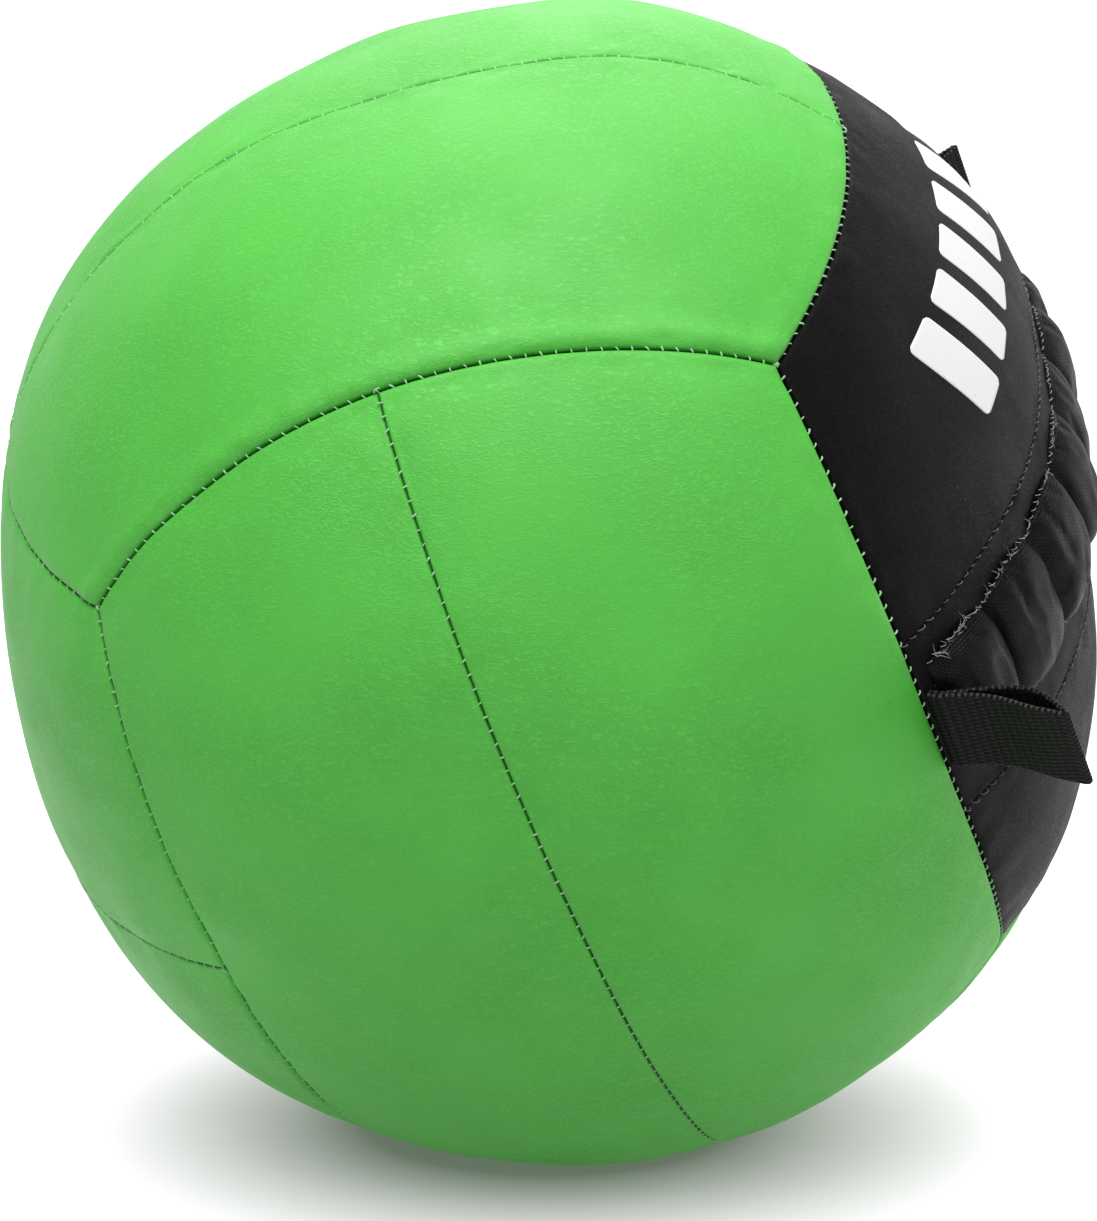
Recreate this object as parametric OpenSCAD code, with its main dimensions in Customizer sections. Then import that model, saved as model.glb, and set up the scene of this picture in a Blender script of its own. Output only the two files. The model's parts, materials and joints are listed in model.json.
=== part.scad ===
// Soft-shell medicine ball: a stuffed sphere sewn from ten coloured panels and three dark strips,
// with a ribbed grip pad and two webbing loops on the dark face.
//
// Ball frame: +X is the middle of the dark grip face, +Z the crown, -Y the front.
// The ball is then leaned over and set down on a flat patch. The origin is the middle of the patch.

/* [Ball] */
// Outside diameter of the ball
ball_d = 350; // [300:5:420]
// Diameter of the flat patch that the ball settles on
rest_d = 70; // [40:1:84]
// How far each seam bows past an even six-sided layout, in degrees
seam_bow = 6.6; // [3:0.2:9]

/* [Lean] */
// Turn of the ball about the X axis, in degrees
lean_x = 27; // [18:1:36]
// Turn of the ball about the Y axis, in degrees
lean_y = -20; // [-30:1:-10]
// Turn of the ball about the Z axis, in degrees
lean_z = -6.8; // [-20:0.2:20]

/* [Cover] */
// Thickness of the vinyl cover
cover_t = 1.6; // [1:0.1:2]
// Depth to which a panel's edge turns in at its seams
seam_allowance = 8; // [7:0.5:12]
// Gap between the turned-in edges of two panels
seam_gap = 1; // [0.9:0.1:2]
// Diameter of the sewing thread
thread_d = 0.8; // [0.4:0.1:0.8]
// Depth of the sewing thread below the surface, in its seam
thread_depth = 1.4; // [0.8:0.1:3]
// Thickness of the foam behind each panel
backing_t = 5.6; // [3:0.2:8]
// Clearance between layers that lie on each other
layer_gap = 0.1; // [0.05:0.05:0.3]

/* [Grip face] */
// Width of the middle strip, between its two seams
strip_w = 57; // [50:1:70]
// Width of the grip pad
pad_w = 37; // [28:1:40]
// Distance of the pad's middle line above the middle of the strip
pad_offset = 2; // [-3:0.5:4]
// Height of the pad above the ball
pad_rise = 9; // [6:0.5:12]
// Distance along the pad from one sewn channel to the next
pad_pitch = 31; // [24:1:40]
// Width of a sewn channel
channel_w = 5; // [3:0.5:8]
// Thickness of the pad's woven cover
pad_cover_t = 1; // [0.6:0.1:1.6]
// Distance from each loop's root to the pad's end
pad_end_gap = 14; // [10:1:20]

/* [Webbing loops] */
// Width of the webbing
webbing_w = 25; // [20:1:38]
// Thickness of one ply of webbing
webbing_t = 1.4; // [1:0.1:1.8]
// Length of the front loop, from its root to its tip
front_loop_len = 40; // [30:1:70]
// Length of the rear loop, from its root to its tip
rear_loop_len = 63; // [30:1:70]
// Lean of the front loop towards the pad, in degrees
front_loop_lean = 10; // [0:1:24]
// Lean of the rear loop towards the pad, in degrees
rear_loop_lean = 24; // [0:1:24]
// Widest opening between a loop's two plies
loop_opening = 4.4; // [2:0.2:8]
// Clearance under the root of a loop
root_clearance = 0.4; // [0.3:0.1:1]

/* [Print] */
// Number of printed bars on the upper strip
bar_count = 6; // [3:1:7]
// Width of a printed bar
bar_w = 18; // [10:1:24]
// Height of a printed bar
bar_h = 30; // [20:1:40]
// Sideways slant of a bar over its height
bar_slant = -10; // [-12:1:12]
// Angle around the ball from one bar to the next
bar_step = 9.2; // [9:0.1:12]
// Height of the bars' lower edge above the middle of the strip
bar_base = 49; // [36:1:52]
// Thickness of the ink
ink_t = 0.2; // [0.1:0.05:0.4]

/* [Filling] */
// Thickness of the inner lining
lining_t = 1; // [0.6:0.1:2]
// Diameter of the ballast bag
ballast_d = 120; // [80:5:180]
// Thickness of the ballast bag's cloth
bag_t = 1; // [0.6:0.1:2]
// Diameter of the bag's gathered neck
neck_d = 24; // [16:1:32]
// Length of the neck past the bag
neck_len = 22; // [16:1:30]
// Diameter of the cord that ties the neck
tie_d = 3; // [2:0.5:4]

/* [Hidden] */
$fn = 240;

ball_r = ball_d / 2;
ball_z = sqrt(pow(ball_r, 2) - pow(rest_d / 2, 2));

// A seam is a flat cut through two corners of the six-sided layout. In the plane of a face's
// normal and its end, these give the cut's tilt, its distance from the centre and its sweep.
bow_angle = 45 + seam_bow;
corner = 1 / sqrt(3);
bow_step = [cos(bow_angle) - corner, sin(bow_angle) - corner];
end_tilt = atan2(bow_step[0], bow_step[1]);
end_level = ball_r * corner * (bow_step[1] - bow_step[0]) / norm(bow_step);

// Depths below the surface at which the layers start
backing_in = cover_t + layer_gap;
lining_in = max(seam_allowance, backing_in + backing_t) + layer_gap;
fill_in = lining_in + lining_t + layer_gap;

webbing_r = webbing_t;
hinge_r = ball_r + webbing_r + root_clearance;
slot_t = 2 * (webbing_t + layer_gap);
// Half the pad's sweep around the ball, and the full cells that fit in it, an even number
pad_step = degrees_along(pad_pitch);
channel_angle = degrees_along(channel_w);
pad_reach = bow_angle - degrees_along(pad_end_gap);
pad_cells = 2 * floor((pad_reach - channel_angle) / pad_step);
// A cell's outline: upright sides, a shoulder, then a slope to the flat top
pad_side_h = pad_rise / 4;
pad_shoulder_h = pad_rise * 3 / 4;
pad_shoulder_w = pad_w * 3 / 8;
pad_top_w = pad_w / 5;
thread_r = ball_r - thread_depth;
split = [0, 180];

// Faces of the layout: a turn about the cube's diagonal, and a flip to the opposite face
CROWN = [0, 0];
BASE = [0, 180];
GRIP = [120, 0];
LEFT = [120, 180];
REAR = [240, 0];
FRONT = [240, 180];

vinyl = "limegreen";
dark_vinyl = [0.16, 0.16, 0.16];
foam = "ivory";
thread_colour = "palegreen";

function degrees_along(length) = length / ball_r * 180 / PI;

// Leans the ball and sets it down on its patch
module posed() {
    translate([0, 0, ball_z]) rotate([lean_x, lean_y, lean_z]) children();
}

// Turns a face's own frame (Z out of the face, X to its seam ends) into the ball frame
module on_face(face) {
    rotate(face[0], [1, 1, 1]) rotate([face[1], 0, 0]) children();
}

// Keeps what is above the floor by the given height
module settled(height) {
    intersection() {
        children();
        above(height);
    }
}

// The ball's outer form, drawn in by a depth
module ball_form(depth) {
    settled(depth) posed() sphere(ball_r - depth);
}

// Everything above a level, as a block
module above(level) {
    translate([-ball_d, -ball_d, level]) cube([2 * ball_d, 2 * ball_d, 2 * ball_d]);
}

// A face between its two end seams, drawn in by a distance at each
module face_ends(inset) {
    intersection() {
        rotate([0, -end_tilt, 0]) above(end_level + inset);
        rotate([0, end_tilt, 0]) above(end_level + inset);
    }
}

// The part of a face from a straight seam out to the next face's end seam
module side_wedge(from, inset) {
    difference() {
        intersection() {
            face_ends(inset);
            rotate([-90, 0, 0]) above(from + inset);
        }
        rotate([-90 - end_tilt, 0, 0]) above(end_level - inset);
    }
}

// The part of a face between two straight seams
module middle_wedge(inset) {
    intersection() {
        face_ends(inset);
        rotate([-90, 0, 0]) above(inset - strip_w / 2);
        rotate([90, 0, 0]) above(inset - strip_w / 2);
    }
}

// A layer of the ball, from one depth to another, within the given wedge
module layer(depth) {
    intersection() {
        ball_form(depth);
        posed() children();
    }
}

// A side piece of a face: skin over the foam, with its edges turned in at the seams
module side_panel(face, spin, from = 0) {
    difference() {
        layer(0) on_face(face) rotate(spin) side_wedge(from, seam_gap / 2);
        layer(cover_t) on_face(face) rotate(spin) side_wedge(from, seam_gap / 2 + cover_t);
        ball_form(seam_allowance);
    }
}

// The foam behind a side piece
module side_backing(face, spin, from = 0) {
    difference() {
        layer(backing_in) on_face(face) rotate(spin) side_wedge(from, seam_gap / 2 + backing_in);
        ball_form(backing_in + backing_t);
    }
}

// Where a webbing tail passes down through a seam, at the front (-1) or rear (1) of the grip face
module tail_block(end, thickness, width, deep) {
    posed() rotate(end * bow_angle) translate([ball_r, 0, 0])
        rotate(end * (90 - end_tilt - bow_angle))
        translate([-deep, -thickness / 2, -width / 2]) cube([deep + cover_t, thickness, width]);
}

module tail_slot(end) {
    tail_block(end, slot_t, webbing_w + 2 * layer_gap, seam_allowance + 1);
}

module front_left_panel() {
    color(vinyl) side_panel(FRONT, split[0]);
}

module front_right_panel() {
    color(vinyl) difference() {
        side_panel(FRONT, split[1]);
        tail_slot(-1);
    }
}

module crown_front_panel() {
    color(vinyl) side_panel(CROWN, split[1]);
}

module crown_rear_panel() {
    color(vinyl) side_panel(CROWN, split[0]);
}

module left_upper_panel() {
    color(vinyl) side_panel(LEFT, split[1]);
}

module left_lower_panel() {
    color(vinyl) side_panel(LEFT, split[0]);
}

module rear_left_panel() {
    color(vinyl) side_panel(REAR, split[1]);
}

module rear_right_panel() {
    color(vinyl) difference() {
        side_panel(REAR, split[0]);
        tail_slot(1);
    }
}

module base_front_panel() {
    color(vinyl) side_panel(BASE, split[0]);
}

module base_rear_panel() {
    color(vinyl) side_panel(BASE, split[1]);
}

module upper_strip() {
    color(dark_vinyl) side_panel(GRIP, split[0], strip_w / 2);
}

module middle_strip() {
    color(dark_vinyl) difference() {
        layer(0) on_face(GRIP) middle_wedge(seam_gap / 2);
        layer(cover_t) on_face(GRIP) middle_wedge(seam_gap / 2 + cover_t);
        ball_form(seam_allowance);
        tail_slot(-1);
        tail_slot(1);
    }
}

module lower_strip() {
    color(dark_vinyl) side_panel(GRIP, split[1], strip_w / 2);
}

module front_left_backing() {
    color(foam) side_backing(FRONT, split[0]);
}

module front_right_backing() {
    color(foam) difference() {
        side_backing(FRONT, split[1]);
        tail_slot(-1);
    }
}

module crown_front_backing() {
    color(foam) side_backing(CROWN, split[1]);
}

module crown_rear_backing() {
    color(foam) side_backing(CROWN, split[0]);
}

module left_upper_backing() {
    color(foam) side_backing(LEFT, split[1]);
}

module left_lower_backing() {
    color(foam) side_backing(LEFT, split[0]);
}

module rear_left_backing() {
    color(foam) side_backing(REAR, split[1]);
}

module rear_right_backing() {
    color(foam) difference() {
        side_backing(REAR, split[0]);
        tail_slot(1);
    }
}

module base_front_backing() {
    color(foam) side_backing(BASE, split[0]);
}

module base_rear_backing() {
    color(foam) side_backing(BASE, split[1]);
}

module upper_strip_backing() {
    color(foam) side_backing(GRIP, split[0], strip_w / 2);
}

module middle_strip_backing() {
    color(foam) difference() {
        layer(backing_in) on_face(GRIP) middle_wedge(seam_gap / 2 + backing_in);
        ball_form(backing_in + backing_t);
        tail_slot(-1);
        tail_slot(1);
    }
}

module lower_strip_backing() {
    color(foam) side_backing(GRIP, split[1], strip_w / 2);
}

// A line of thread on a circle about Z, of the given radius, centred on +X
module thread_arc(radius, half_sweep) {
    short = half_sweep - 2 * thread_d / radius * 180 / PI;
    rotate(-short) rotate_extrude(angle = 2 * short) translate([radius, 0]) circle(thread_d / 2, $fn = 16);
}

// The thread in the seam at one end of a face
module end_thread() {
    radius = sqrt(pow(thread_r, 2) - pow(end_level, 2));
    rotate([0, -end_tilt, 0]) translate([0, 0, end_level])
        thread_arc(radius, asin(corner * thread_r / radius));
}

// The thread in the seam that splits a face in two
module split_thread() {
    rotate([90, 0, 0]) rotate(90) thread_arc(thread_r, bow_angle);
}

// The thread in one of the middle strip's long seams
module strip_thread(side) {
    radius = sqrt(pow(thread_r, 2) - pow(strip_w / 2, 2));
    reach = acos(end_level / radius) - end_tilt;
    rotate([90, 0, 0]) translate([0, 0, side * strip_w / 2]) rotate(90) thread_arc(radius, reach);
}

module edge_seam_threads() {
    color(thread_colour) difference() {
        posed() for (face = [CROWN, BASE, GRIP, LEFT, REAR, FRONT])
            for (spin = split) on_face(face) rotate(spin) end_thread();
        tail_slot(-1);
        tail_slot(1);
    }
}

module split_seam_threads() {
    color(thread_colour) posed() for (face = [CROWN, LEFT, REAR, FRONT]) on_face(face) split_thread();
}

module strip_seam_threads() {
    color(thread_colour) posed() for (side = [-1, 1]) on_face(GRIP) strip_thread(side);
}

// The seam that is sewn last, once the ball is stuffed
module closing_seam_thread() {
    color(thread_colour) posed() on_face(BASE) split_thread();
}

// Half of the pad's outline, across the pad, drawn in by an inset
function pad_outline(inset, side) = [
    [ball_r - pad_rise, side * (pad_w / 2 - inset)],
    [ball_r + pad_side_h, side * (pad_w / 2 - inset)],
    [ball_r + pad_shoulder_h - inset / 2, side * (pad_shoulder_w - inset)],
    [ball_r + pad_rise - inset, side * pad_top_w]
];

// One cell of the pad, between two angles around the ball, drawn in by an inset, above a floor
module pad_cell(start, end, inset, floor) {
    margin = degrees_along(channel_w / 2 + inset);
    sides = [for (side = [-1, 1]) pad_outline(inset, side)];
    difference() {
        rotate(start + margin) rotate_extrude(angle = end - start - 2 * margin)
            translate([0, pad_offset])
            polygon(concat(sides[0], [for (i = [len(sides[1]) - 1:-1:0]) sides[1][i]]));
        sphere(floor);
    }
}

// All the cells of the pad: full ones, and a short one at each end
module pad_cells_all(inset, floor) {
    edge = pad_cells / 2 * pad_step;
    for (i = [0:pad_cells - 1]) pad_cell(i * pad_step - edge, (i + 1) * pad_step - edge, inset, floor);
    pad_cell(-pad_reach - channel_angle / 2, -edge, inset, floor);
    pad_cell(edge, pad_reach + channel_angle / 2, inset, floor);
}

// The flat of the cover, sewn to the strip under and between the cells
module pad_web() {
    difference() {
        rotate(-pad_reach) rotate_extrude(angle = 2 * pad_reach)
            translate([ball_r - pad_rise, pad_offset - pad_w / 2]) square([2 * pad_rise, pad_w]);
        sphere(ball_r + layer_gap);
        rotate_extrude() difference() {
            translate([ball_r - pad_rise, -pad_w]) square([4 * pad_rise, 2 * pad_w]);
            circle(ball_r + layer_gap + pad_cover_t);
        }
    }
}

// The cells are open underneath, where their foam lies on the strip
module grip_pad_cover() {
    color([0.1, 0.1, 0.1]) posed() difference() {
        union() {
            pad_web();
            pad_cells_all(0, ball_r + layer_gap);
        }
        pad_cells_all(pad_cover_t, ball_r);
    }
}

module grip_pad_foam() {
    color(foam) posed() pad_cells_all(pad_cover_t + layer_gap, ball_r + layer_gap);
}

// Two lines of thread, one along each long edge of the pad
module grip_pad_threads() {
    lie = ball_r + layer_gap + thread_d / 2;
    color("white") posed() for (side = [-1, 1]) {
        height = pad_offset + side * (pad_w / 2 + thread_d / 2 + layer_gap);
        translate([0, 0, height]) thread_arc(sqrt(pow(lie, 2) - pow(height, 2)), pad_reach);
    }
}

// A fold of webbing on edge: +X from its root to its tip, Z across the webbing
module webbing_fold(length) {
    steps = 24;
    reach = length - webbing_t;
    side = [for (i = [0:steps]) [reach * i / steps, loop_opening / 2 * sin(180 * i / steps)]];
    difference() {
        linear_extrude(webbing_w, center = true) polygon(concat(
            [for (p = side) p + [0, webbing_t]],
            [for (a = [75:-15:-75]) [reach + webbing_t * cos(a), webbing_t * sin(a)]],
            [for (i = [steps:-1:0]) [side[i][0], -side[i][1] - webbing_t]],
            [for (a = [-105:-15:-255]) webbing_r * [cos(a), sin(a)]]
        ));
        linear_extrude(webbing_w + 1, center = true) polygon(concat(
            side,
            [for (i = [steps - 1:-1:1]) [side[i][0], -side[i][1]]]
        ));
    }
}

// A loop standing at the front (-1) or rear (1) end of the grip face, leaning towards the pad
module loop(end, length, lean) {
    posed() rotate(end * bow_angle) translate([hinge_r, 0, 0]) rotate(-end * lean) webbing_fold(length);
}

module front_loop() {
    color(dark_vinyl) loop(-1, front_loop_len, front_loop_lean);
}

module rear_loop() {
    color(dark_vinyl) loop(1, rear_loop_len, rear_loop_lean);
}

// The two plies sewn down inside the seam, below a loop
module loop_tail(end) {
    intersection() {
        tail_block(end, 2 * webbing_t, webbing_w, seam_allowance);
        ball_form(0);
    }
}

module front_loop_tail() {
    color(dark_vinyl) loop_tail(-1);
}

module rear_loop_tail() {
    color(dark_vinyl) loop_tail(1);
}

// A row of plain slanted bars around the upper strip
module printed_bars() {
    first = -(bar_count - 1) / 2 * bar_step;
    color("white") posed() intersection() {
        difference() {
            sphere(ball_r + layer_gap + ink_t);
            sphere(ball_r + layer_gap);
        }
        for (i = [0:bar_count - 1]) rotate(first + i * bar_step) rotate([90, 0, 90])
            translate([0, 0, ball_r / 2]) linear_extrude(ball_r) polygon([
                [-bar_w / 2, bar_base],
                [bar_w / 2, bar_base],
                [bar_w / 2 + bar_slant, bar_base + bar_h],
                [-bar_w / 2 + bar_slant, bar_base + bar_h]
            ]);
    }
}

// The part of the ball above (1) or below (-1) the level of the ballast bag's middle
module half_form(depth, side) {
    intersection() {
        ball_form(depth);
        posed() rotate([side > 0 ? 0 : 180, 0, 0]) above(layer_gap / 2);
    }
}

// One bowl of the inner bag that holds the filling
module half_lining(side) {
    difference() {
        half_form(lining_in, side);
        ball_form(lining_in + lining_t);
    }
}

module upper_lining() {
    color("gainsboro") half_lining(1);
}

module lower_lining() {
    color("gainsboro") half_lining(-1);
}

// The bag's outside, grown by a distance
module bag_form(grow) {
    sphere(ballast_d / 2 + grow);
    cylinder(h = ballast_d / 2 + neck_len + grow, r = neck_d / 2 + tie_d + grow);
}

// Half of the fibre filling, packed round the ballast bag
module half_fill(side) {
    difference() {
        half_form(fill_in, side);
        posed() bag_form(layer_gap);
    }
}

module upper_fill() {
    color("lightgray") half_fill(1);
}

module lower_fill() {
    color("lightgray") half_fill(-1);
}

module ballast_bag() {
    color("tan") posed() difference() {
        union() {
            sphere(ballast_d / 2);
            cylinder(h = ballast_d / 2 + neck_len, r = neck_d / 2);
        }
        sphere(ballast_d / 2 - bag_t);
    }
}

module ballast_granules() {
    color("dimgray") posed() sphere(ballast_d / 2 - bag_t - layer_gap);
}

// A cord knotted round the bag's neck
module ballast_tie() {
    color("white") posed() translate([0, 0, ballast_d / 2 + neck_len / 2])
        rotate_extrude() translate([(neck_d + tie_d) / 2 + layer_gap, 0]) circle(tie_d / 2, $fn = 24);
}

front_left_panel();
front_right_panel();
crown_front_panel();
crown_rear_panel();
left_upper_panel();
left_lower_panel();
rear_left_panel();
rear_right_panel();
base_front_panel();
base_rear_panel();
upper_strip();
middle_strip();
lower_strip();
front_left_backing();
front_right_backing();
crown_front_backing();
crown_rear_backing();
left_upper_backing();
left_lower_backing();
rear_left_backing();
rear_right_backing();
base_front_backing();
base_rear_backing();
upper_strip_backing();
middle_strip_backing();
lower_strip_backing();
edge_seam_threads();
split_seam_threads();
strip_seam_threads();
closing_seam_thread();
grip_pad_cover();
grip_pad_foam();
grip_pad_threads();
front_loop();
rear_loop();
front_loop_tail();
rear_loop_tail();
printed_bars();
upper_lining();
lower_lining();
upper_fill();
lower_fill();
ballast_bag();
ballast_granules();
ballast_tie();
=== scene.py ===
"""Looks of a soft-shell medicine ball: its sewn cover, grip pad, webbing loops, print and filling.

Sizes are in metres in the bpy.props and in millimetres in the tables of the cover's small relief.
"""

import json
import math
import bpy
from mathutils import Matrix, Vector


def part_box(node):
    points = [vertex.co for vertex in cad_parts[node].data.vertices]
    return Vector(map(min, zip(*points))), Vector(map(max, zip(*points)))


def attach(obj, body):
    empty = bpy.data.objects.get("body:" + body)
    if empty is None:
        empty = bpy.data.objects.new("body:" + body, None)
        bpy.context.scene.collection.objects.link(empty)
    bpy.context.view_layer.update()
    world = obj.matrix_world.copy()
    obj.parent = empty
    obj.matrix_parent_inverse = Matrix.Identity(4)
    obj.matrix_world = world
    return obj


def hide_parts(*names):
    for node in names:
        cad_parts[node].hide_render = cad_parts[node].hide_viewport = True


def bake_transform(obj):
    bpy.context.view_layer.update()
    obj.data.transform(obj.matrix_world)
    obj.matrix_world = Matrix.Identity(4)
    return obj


bl_info = {
    "name": "Soft Medicine Ball",
    "version": (1, 0, 0),
    "blender": (4, 5, 0),
    "location": "3D View > Sidebar > Ball",
    "description": "Covers, stitches and webbing of a stuffed exercise ball",
    "category": "Add Mesh",
}

import bmesh
import bpy
import numpy as np
from bpy.props import FloatProperty, FloatVectorProperty, IntProperty, PointerProperty
from bpy.types import Operator, Panel, PropertyGroup

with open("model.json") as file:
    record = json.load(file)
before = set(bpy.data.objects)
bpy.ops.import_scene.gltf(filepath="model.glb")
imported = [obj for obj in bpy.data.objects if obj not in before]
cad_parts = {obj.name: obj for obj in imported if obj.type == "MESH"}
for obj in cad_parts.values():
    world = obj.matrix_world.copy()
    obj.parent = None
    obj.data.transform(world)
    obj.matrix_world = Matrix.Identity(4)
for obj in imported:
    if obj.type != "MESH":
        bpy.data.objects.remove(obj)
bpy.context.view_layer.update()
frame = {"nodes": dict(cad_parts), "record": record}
MM = 0.001
FINISHES = {}

# ---------------------------------------------------------------- the ball's own frame


def unit(v):
    return v / np.linalg.norm(v)


def hinge(name):
    return next(j for j in frame["record"]["behaviour"]["joints"] if j["name"] == name)


# +X is the middle of the dark grip face, +Z the crown and -Y the front, as the hinges give them
CENTRE = np.mean(np.array(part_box("ballast_granules")), axis=0)
FRONT_HINGE = np.array(hinge("front_loop_bend")["pos_m"])
REAR_HINGE = np.array(hinge("rear_loop_bend")["pos_m"])
Z_AXIS = unit(np.array(hinge("front_loop_bend")["axis"]))
Y_AXIS = unit(REAR_HINGE - FRONT_HINGE)
X_AXIS = np.cross(Y_AXIS, Z_AXIS)
BALL_AXES = np.array([X_AXIS, Y_AXIS, Z_AXIS])
CAD_RADIUS = np.array(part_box("crown_rear_panel"))[1][2] - CENTRE[2]
BOW_ANGLE = math.atan2(np.linalg.norm(REAR_HINGE - FRONT_HINGE) / 2,
                       np.dot((FRONT_HINGE + REAR_HINGE) / 2 - CENTRE, X_AXIS))


def to_world(points):
    """Points in the ball's own frame, from its centre, to the frame that everything shares"""
    return points @ BALL_AXES + CENTRE


# ---------------------------------------------------------------- sizes and colours


def colour(name, text, default):
    return FloatVectorProperty(name=name, description=text, subtype="COLOR", size=3, min=0, max=1,
                               default=default)


def length(name, text, default):
    return FloatProperty(name=name, description=text, default=default, min=0, precision=5,
                         unit="LENGTH", subtype="DISTANCE")


class BallForm(PropertyGroup):
    """The stuffed shape"""

    radius: length("Radius", "From the centre to the middle of a face", 0.1740)
    squareness: FloatProperty(name="Squareness", description="2 is round; more is squarer",
                              default=2.15, min=2, max=3)
    flattening: FloatProperty(name="Flattening", description="Width through the grip face over height",
                              default=0.95, min=0.8, max=1.1, subtype="FACTOR")
    dents: length("Dents", "Height of the broad unevenness of the filling", 0.0009)
    puckers: length("Puckers", "Height of the gathers along the seams", 0.00030)
    cover_t: length("Cover", "Thickness of the vinyl", 0.0013)


class VinylLook(PropertyGroup):
    """The cover's finish"""

    green: colour("Green", "Colour of the bright panels", (0.080, 0.590, 0.042))
    black: colour("Black", "Colour of the dark strips", (0.0040, 0.0038, 0.0036))
    pad: colour("Pad", "Colour of the woven grip pad", (0.0042, 0.0041, 0.0040))
    grain: length("Grain", "Size of one cell of the grain", 0.0024)


class StitchLook(PropertyGroup):
    """Seam stitches"""

    pitch: length("Pitch", "From one stitch to the next", 0.0039)
    thread: length("Thread", "Thickness of the thread", 0.00054)
    reach: length("Reach", "Length of a stitch across the seam", 0.0020)
    mint: colour("Mint", "Thread of the bright seams", (0.44, 0.82, 0.48))
    dark: colour("Dark", "Thread of the strips' seams", (0.16, 0.155, 0.145))
    white: colour("White", "Thread along the grip pad", (0.42, 0.41, 0.39))


class PadForm(PropertyGroup):
    """The ribbed grip pad"""

    width: length("Width", "Across the pad", 0.037)
    offset: length("Offset", "Of the pad's middle line towards the crown", 0.002)
    rise: length("Rise", "Height of the ribs", 0.0075)
    pitch: length("Pitch", "From one sewn channel to the next", 0.031)
    ribs: IntProperty(name="Ribs", description="Full ribs between the end ones", default=8, min=2)


class WebbingForm(PropertyGroup):
    """The two loops"""

    width: length("Width", "Across the webbing", 0.025)
    ply: length("Ply", "Thickness of one ply", 0.0014)
    opening: length("Opening", "Widest gap between the plies", 0.0046)
    front_length: length("Front length", "Of the front loop", 0.040)
    rear_length: length("Rear length", "Of the rear loop", 0.063)
    rib: length("Rib", "From one rib of the weave to the next", 0.0027)
    float_t: length("Float", "From one float of a rib to the next", 0.0013)


class PrintForm(PropertyGroup):
    """The row of plain bars"""

    bars: IntProperty(name="Bars", description="How many", default=6, min=1)
    width: length("Width", "Of one bar", 0.018)
    height: length("Height", "Of one bar", 0.030)
    slant: length("Slant", "Sideways towards the front, over the height", 0.010)
    base: length("Base", "Of the bars above the grip face's middle", 0.049)
    step: FloatProperty(name="Step", description="From bar to bar, around the ball",
                        default=math.radians(9.2), subtype="ANGLE")


class StageForm(PropertyGroup):
    """Camera and floor"""

    elevation: FloatProperty(name="Elevation", description="Of the camera above the ball",
                             default=math.radians(7.5), subtype="ANGLE")
    distance: length("Distance", "From the camera to the ball's centre", 0.957)
    lens: FloatProperty(name="Lens", description="Focal length", default=90.16, unit="CAMERA")


def settings(group):
    """The scene's sizes of one group"""
    return getattr(bpy.context.scene, "ball_" + group)


# ---------------------------------------------------------------- layout of the seams

AXES = {"x": np.array([1.0, 0, 0]), "y": np.array([0, 1.0, 0]), "z": np.array([0, 0, 1.0])}
# Each face: which way it looks, and the axis on which its two end seams lie
FACES = {
    "crown": (AXES["z"], AXES["x"]),
    "base": (-AXES["z"], AXES["x"]),
    "grip": (AXES["x"], AXES["y"]),
    "left": (-AXES["x"], AXES["y"]),
    "rear": (AXES["y"], AXES["z"]),
    "front": (-AXES["y"], AXES["z"]),
}
# Each cover piece: its face, and the side of the face's middle seam that it lies on
PIECES = {
    "front_left": ("front", 1),
    "front_right": ("front", -1),
    "crown_rear": ("crown", 1),
    "crown_front": ("crown", -1),
    "left_lower": ("left", 1),
    "left_upper": ("left", -1),
    "rear_right": ("rear", 1),
    "rear_left": ("rear", -1),
    "base_front": ("base", 1),
    "base_rear": ("base", -1),
    "upper": ("grip", 1),
    "middle": ("grip", 0),
    "lower": ("grip", -1),
}
STRIPS = ("upper", "middle", "lower")
STRIP_HALF = 28.5 * MM

CORNER = 1 / math.sqrt(3)
BOW_STEP = np.array([math.cos(BOW_ANGLE) - CORNER, math.sin(BOW_ANGLE) - CORNER])
END_TILT = math.atan2(BOW_STEP[0], BOW_STEP[1])
END_LEVEL = CORNER * (BOW_STEP[1] - BOW_STEP[0]) / np.linalg.norm(BOW_STEP)


class Circle:
    """A circle on the unit sphere: its axis, its level along the axis, and where its middle is"""

    def __init__(self, axis, level, middle, kind):
        self.axis, self.level, self.kind = axis, level, kind
        self.radius = math.sqrt(1 - level * level)
        self.first = unit(middle - np.dot(middle, axis) * axis)
        self.second = np.cross(axis, self.first)

    def point(self, angle):
        """Points of the circle at angles from its middle"""
        angle = np.asarray(angle)[..., None]
        ring = np.cos(angle) * self.first + np.sin(angle) * self.second
        return self.level * self.axis + self.radius * ring

    def distance(self, directions):
        """Signed distance over the ball from the circle, in mm, more away from the axis"""
        turn = np.arccos(np.clip(directions @ self.axis, -1, 1)) - math.acos(self.level)
        return turn * CAD_RADIUS / MM


def face_frame(face):
    """The way that a face looks, the axis of its end seams, and the one across both"""
    normal, end = FACES[face]
    return normal, end, np.cross(normal, end)


def end_circle(normal, end):
    """The seam at one end of a face, bowed past the corner line"""
    axis = math.cos(END_TILT) * normal - math.sin(END_TILT) * end
    middle = math.cos(BOW_ANGLE) * normal + math.sin(BOW_ANGLE) * end
    return Circle(axis, END_LEVEL, middle, "edge")


def split_circle(normal, side, level, kind):
    """A seam that runs along a face, at a level to one side of its middle"""
    return Circle(side, level, normal, kind)


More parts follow.
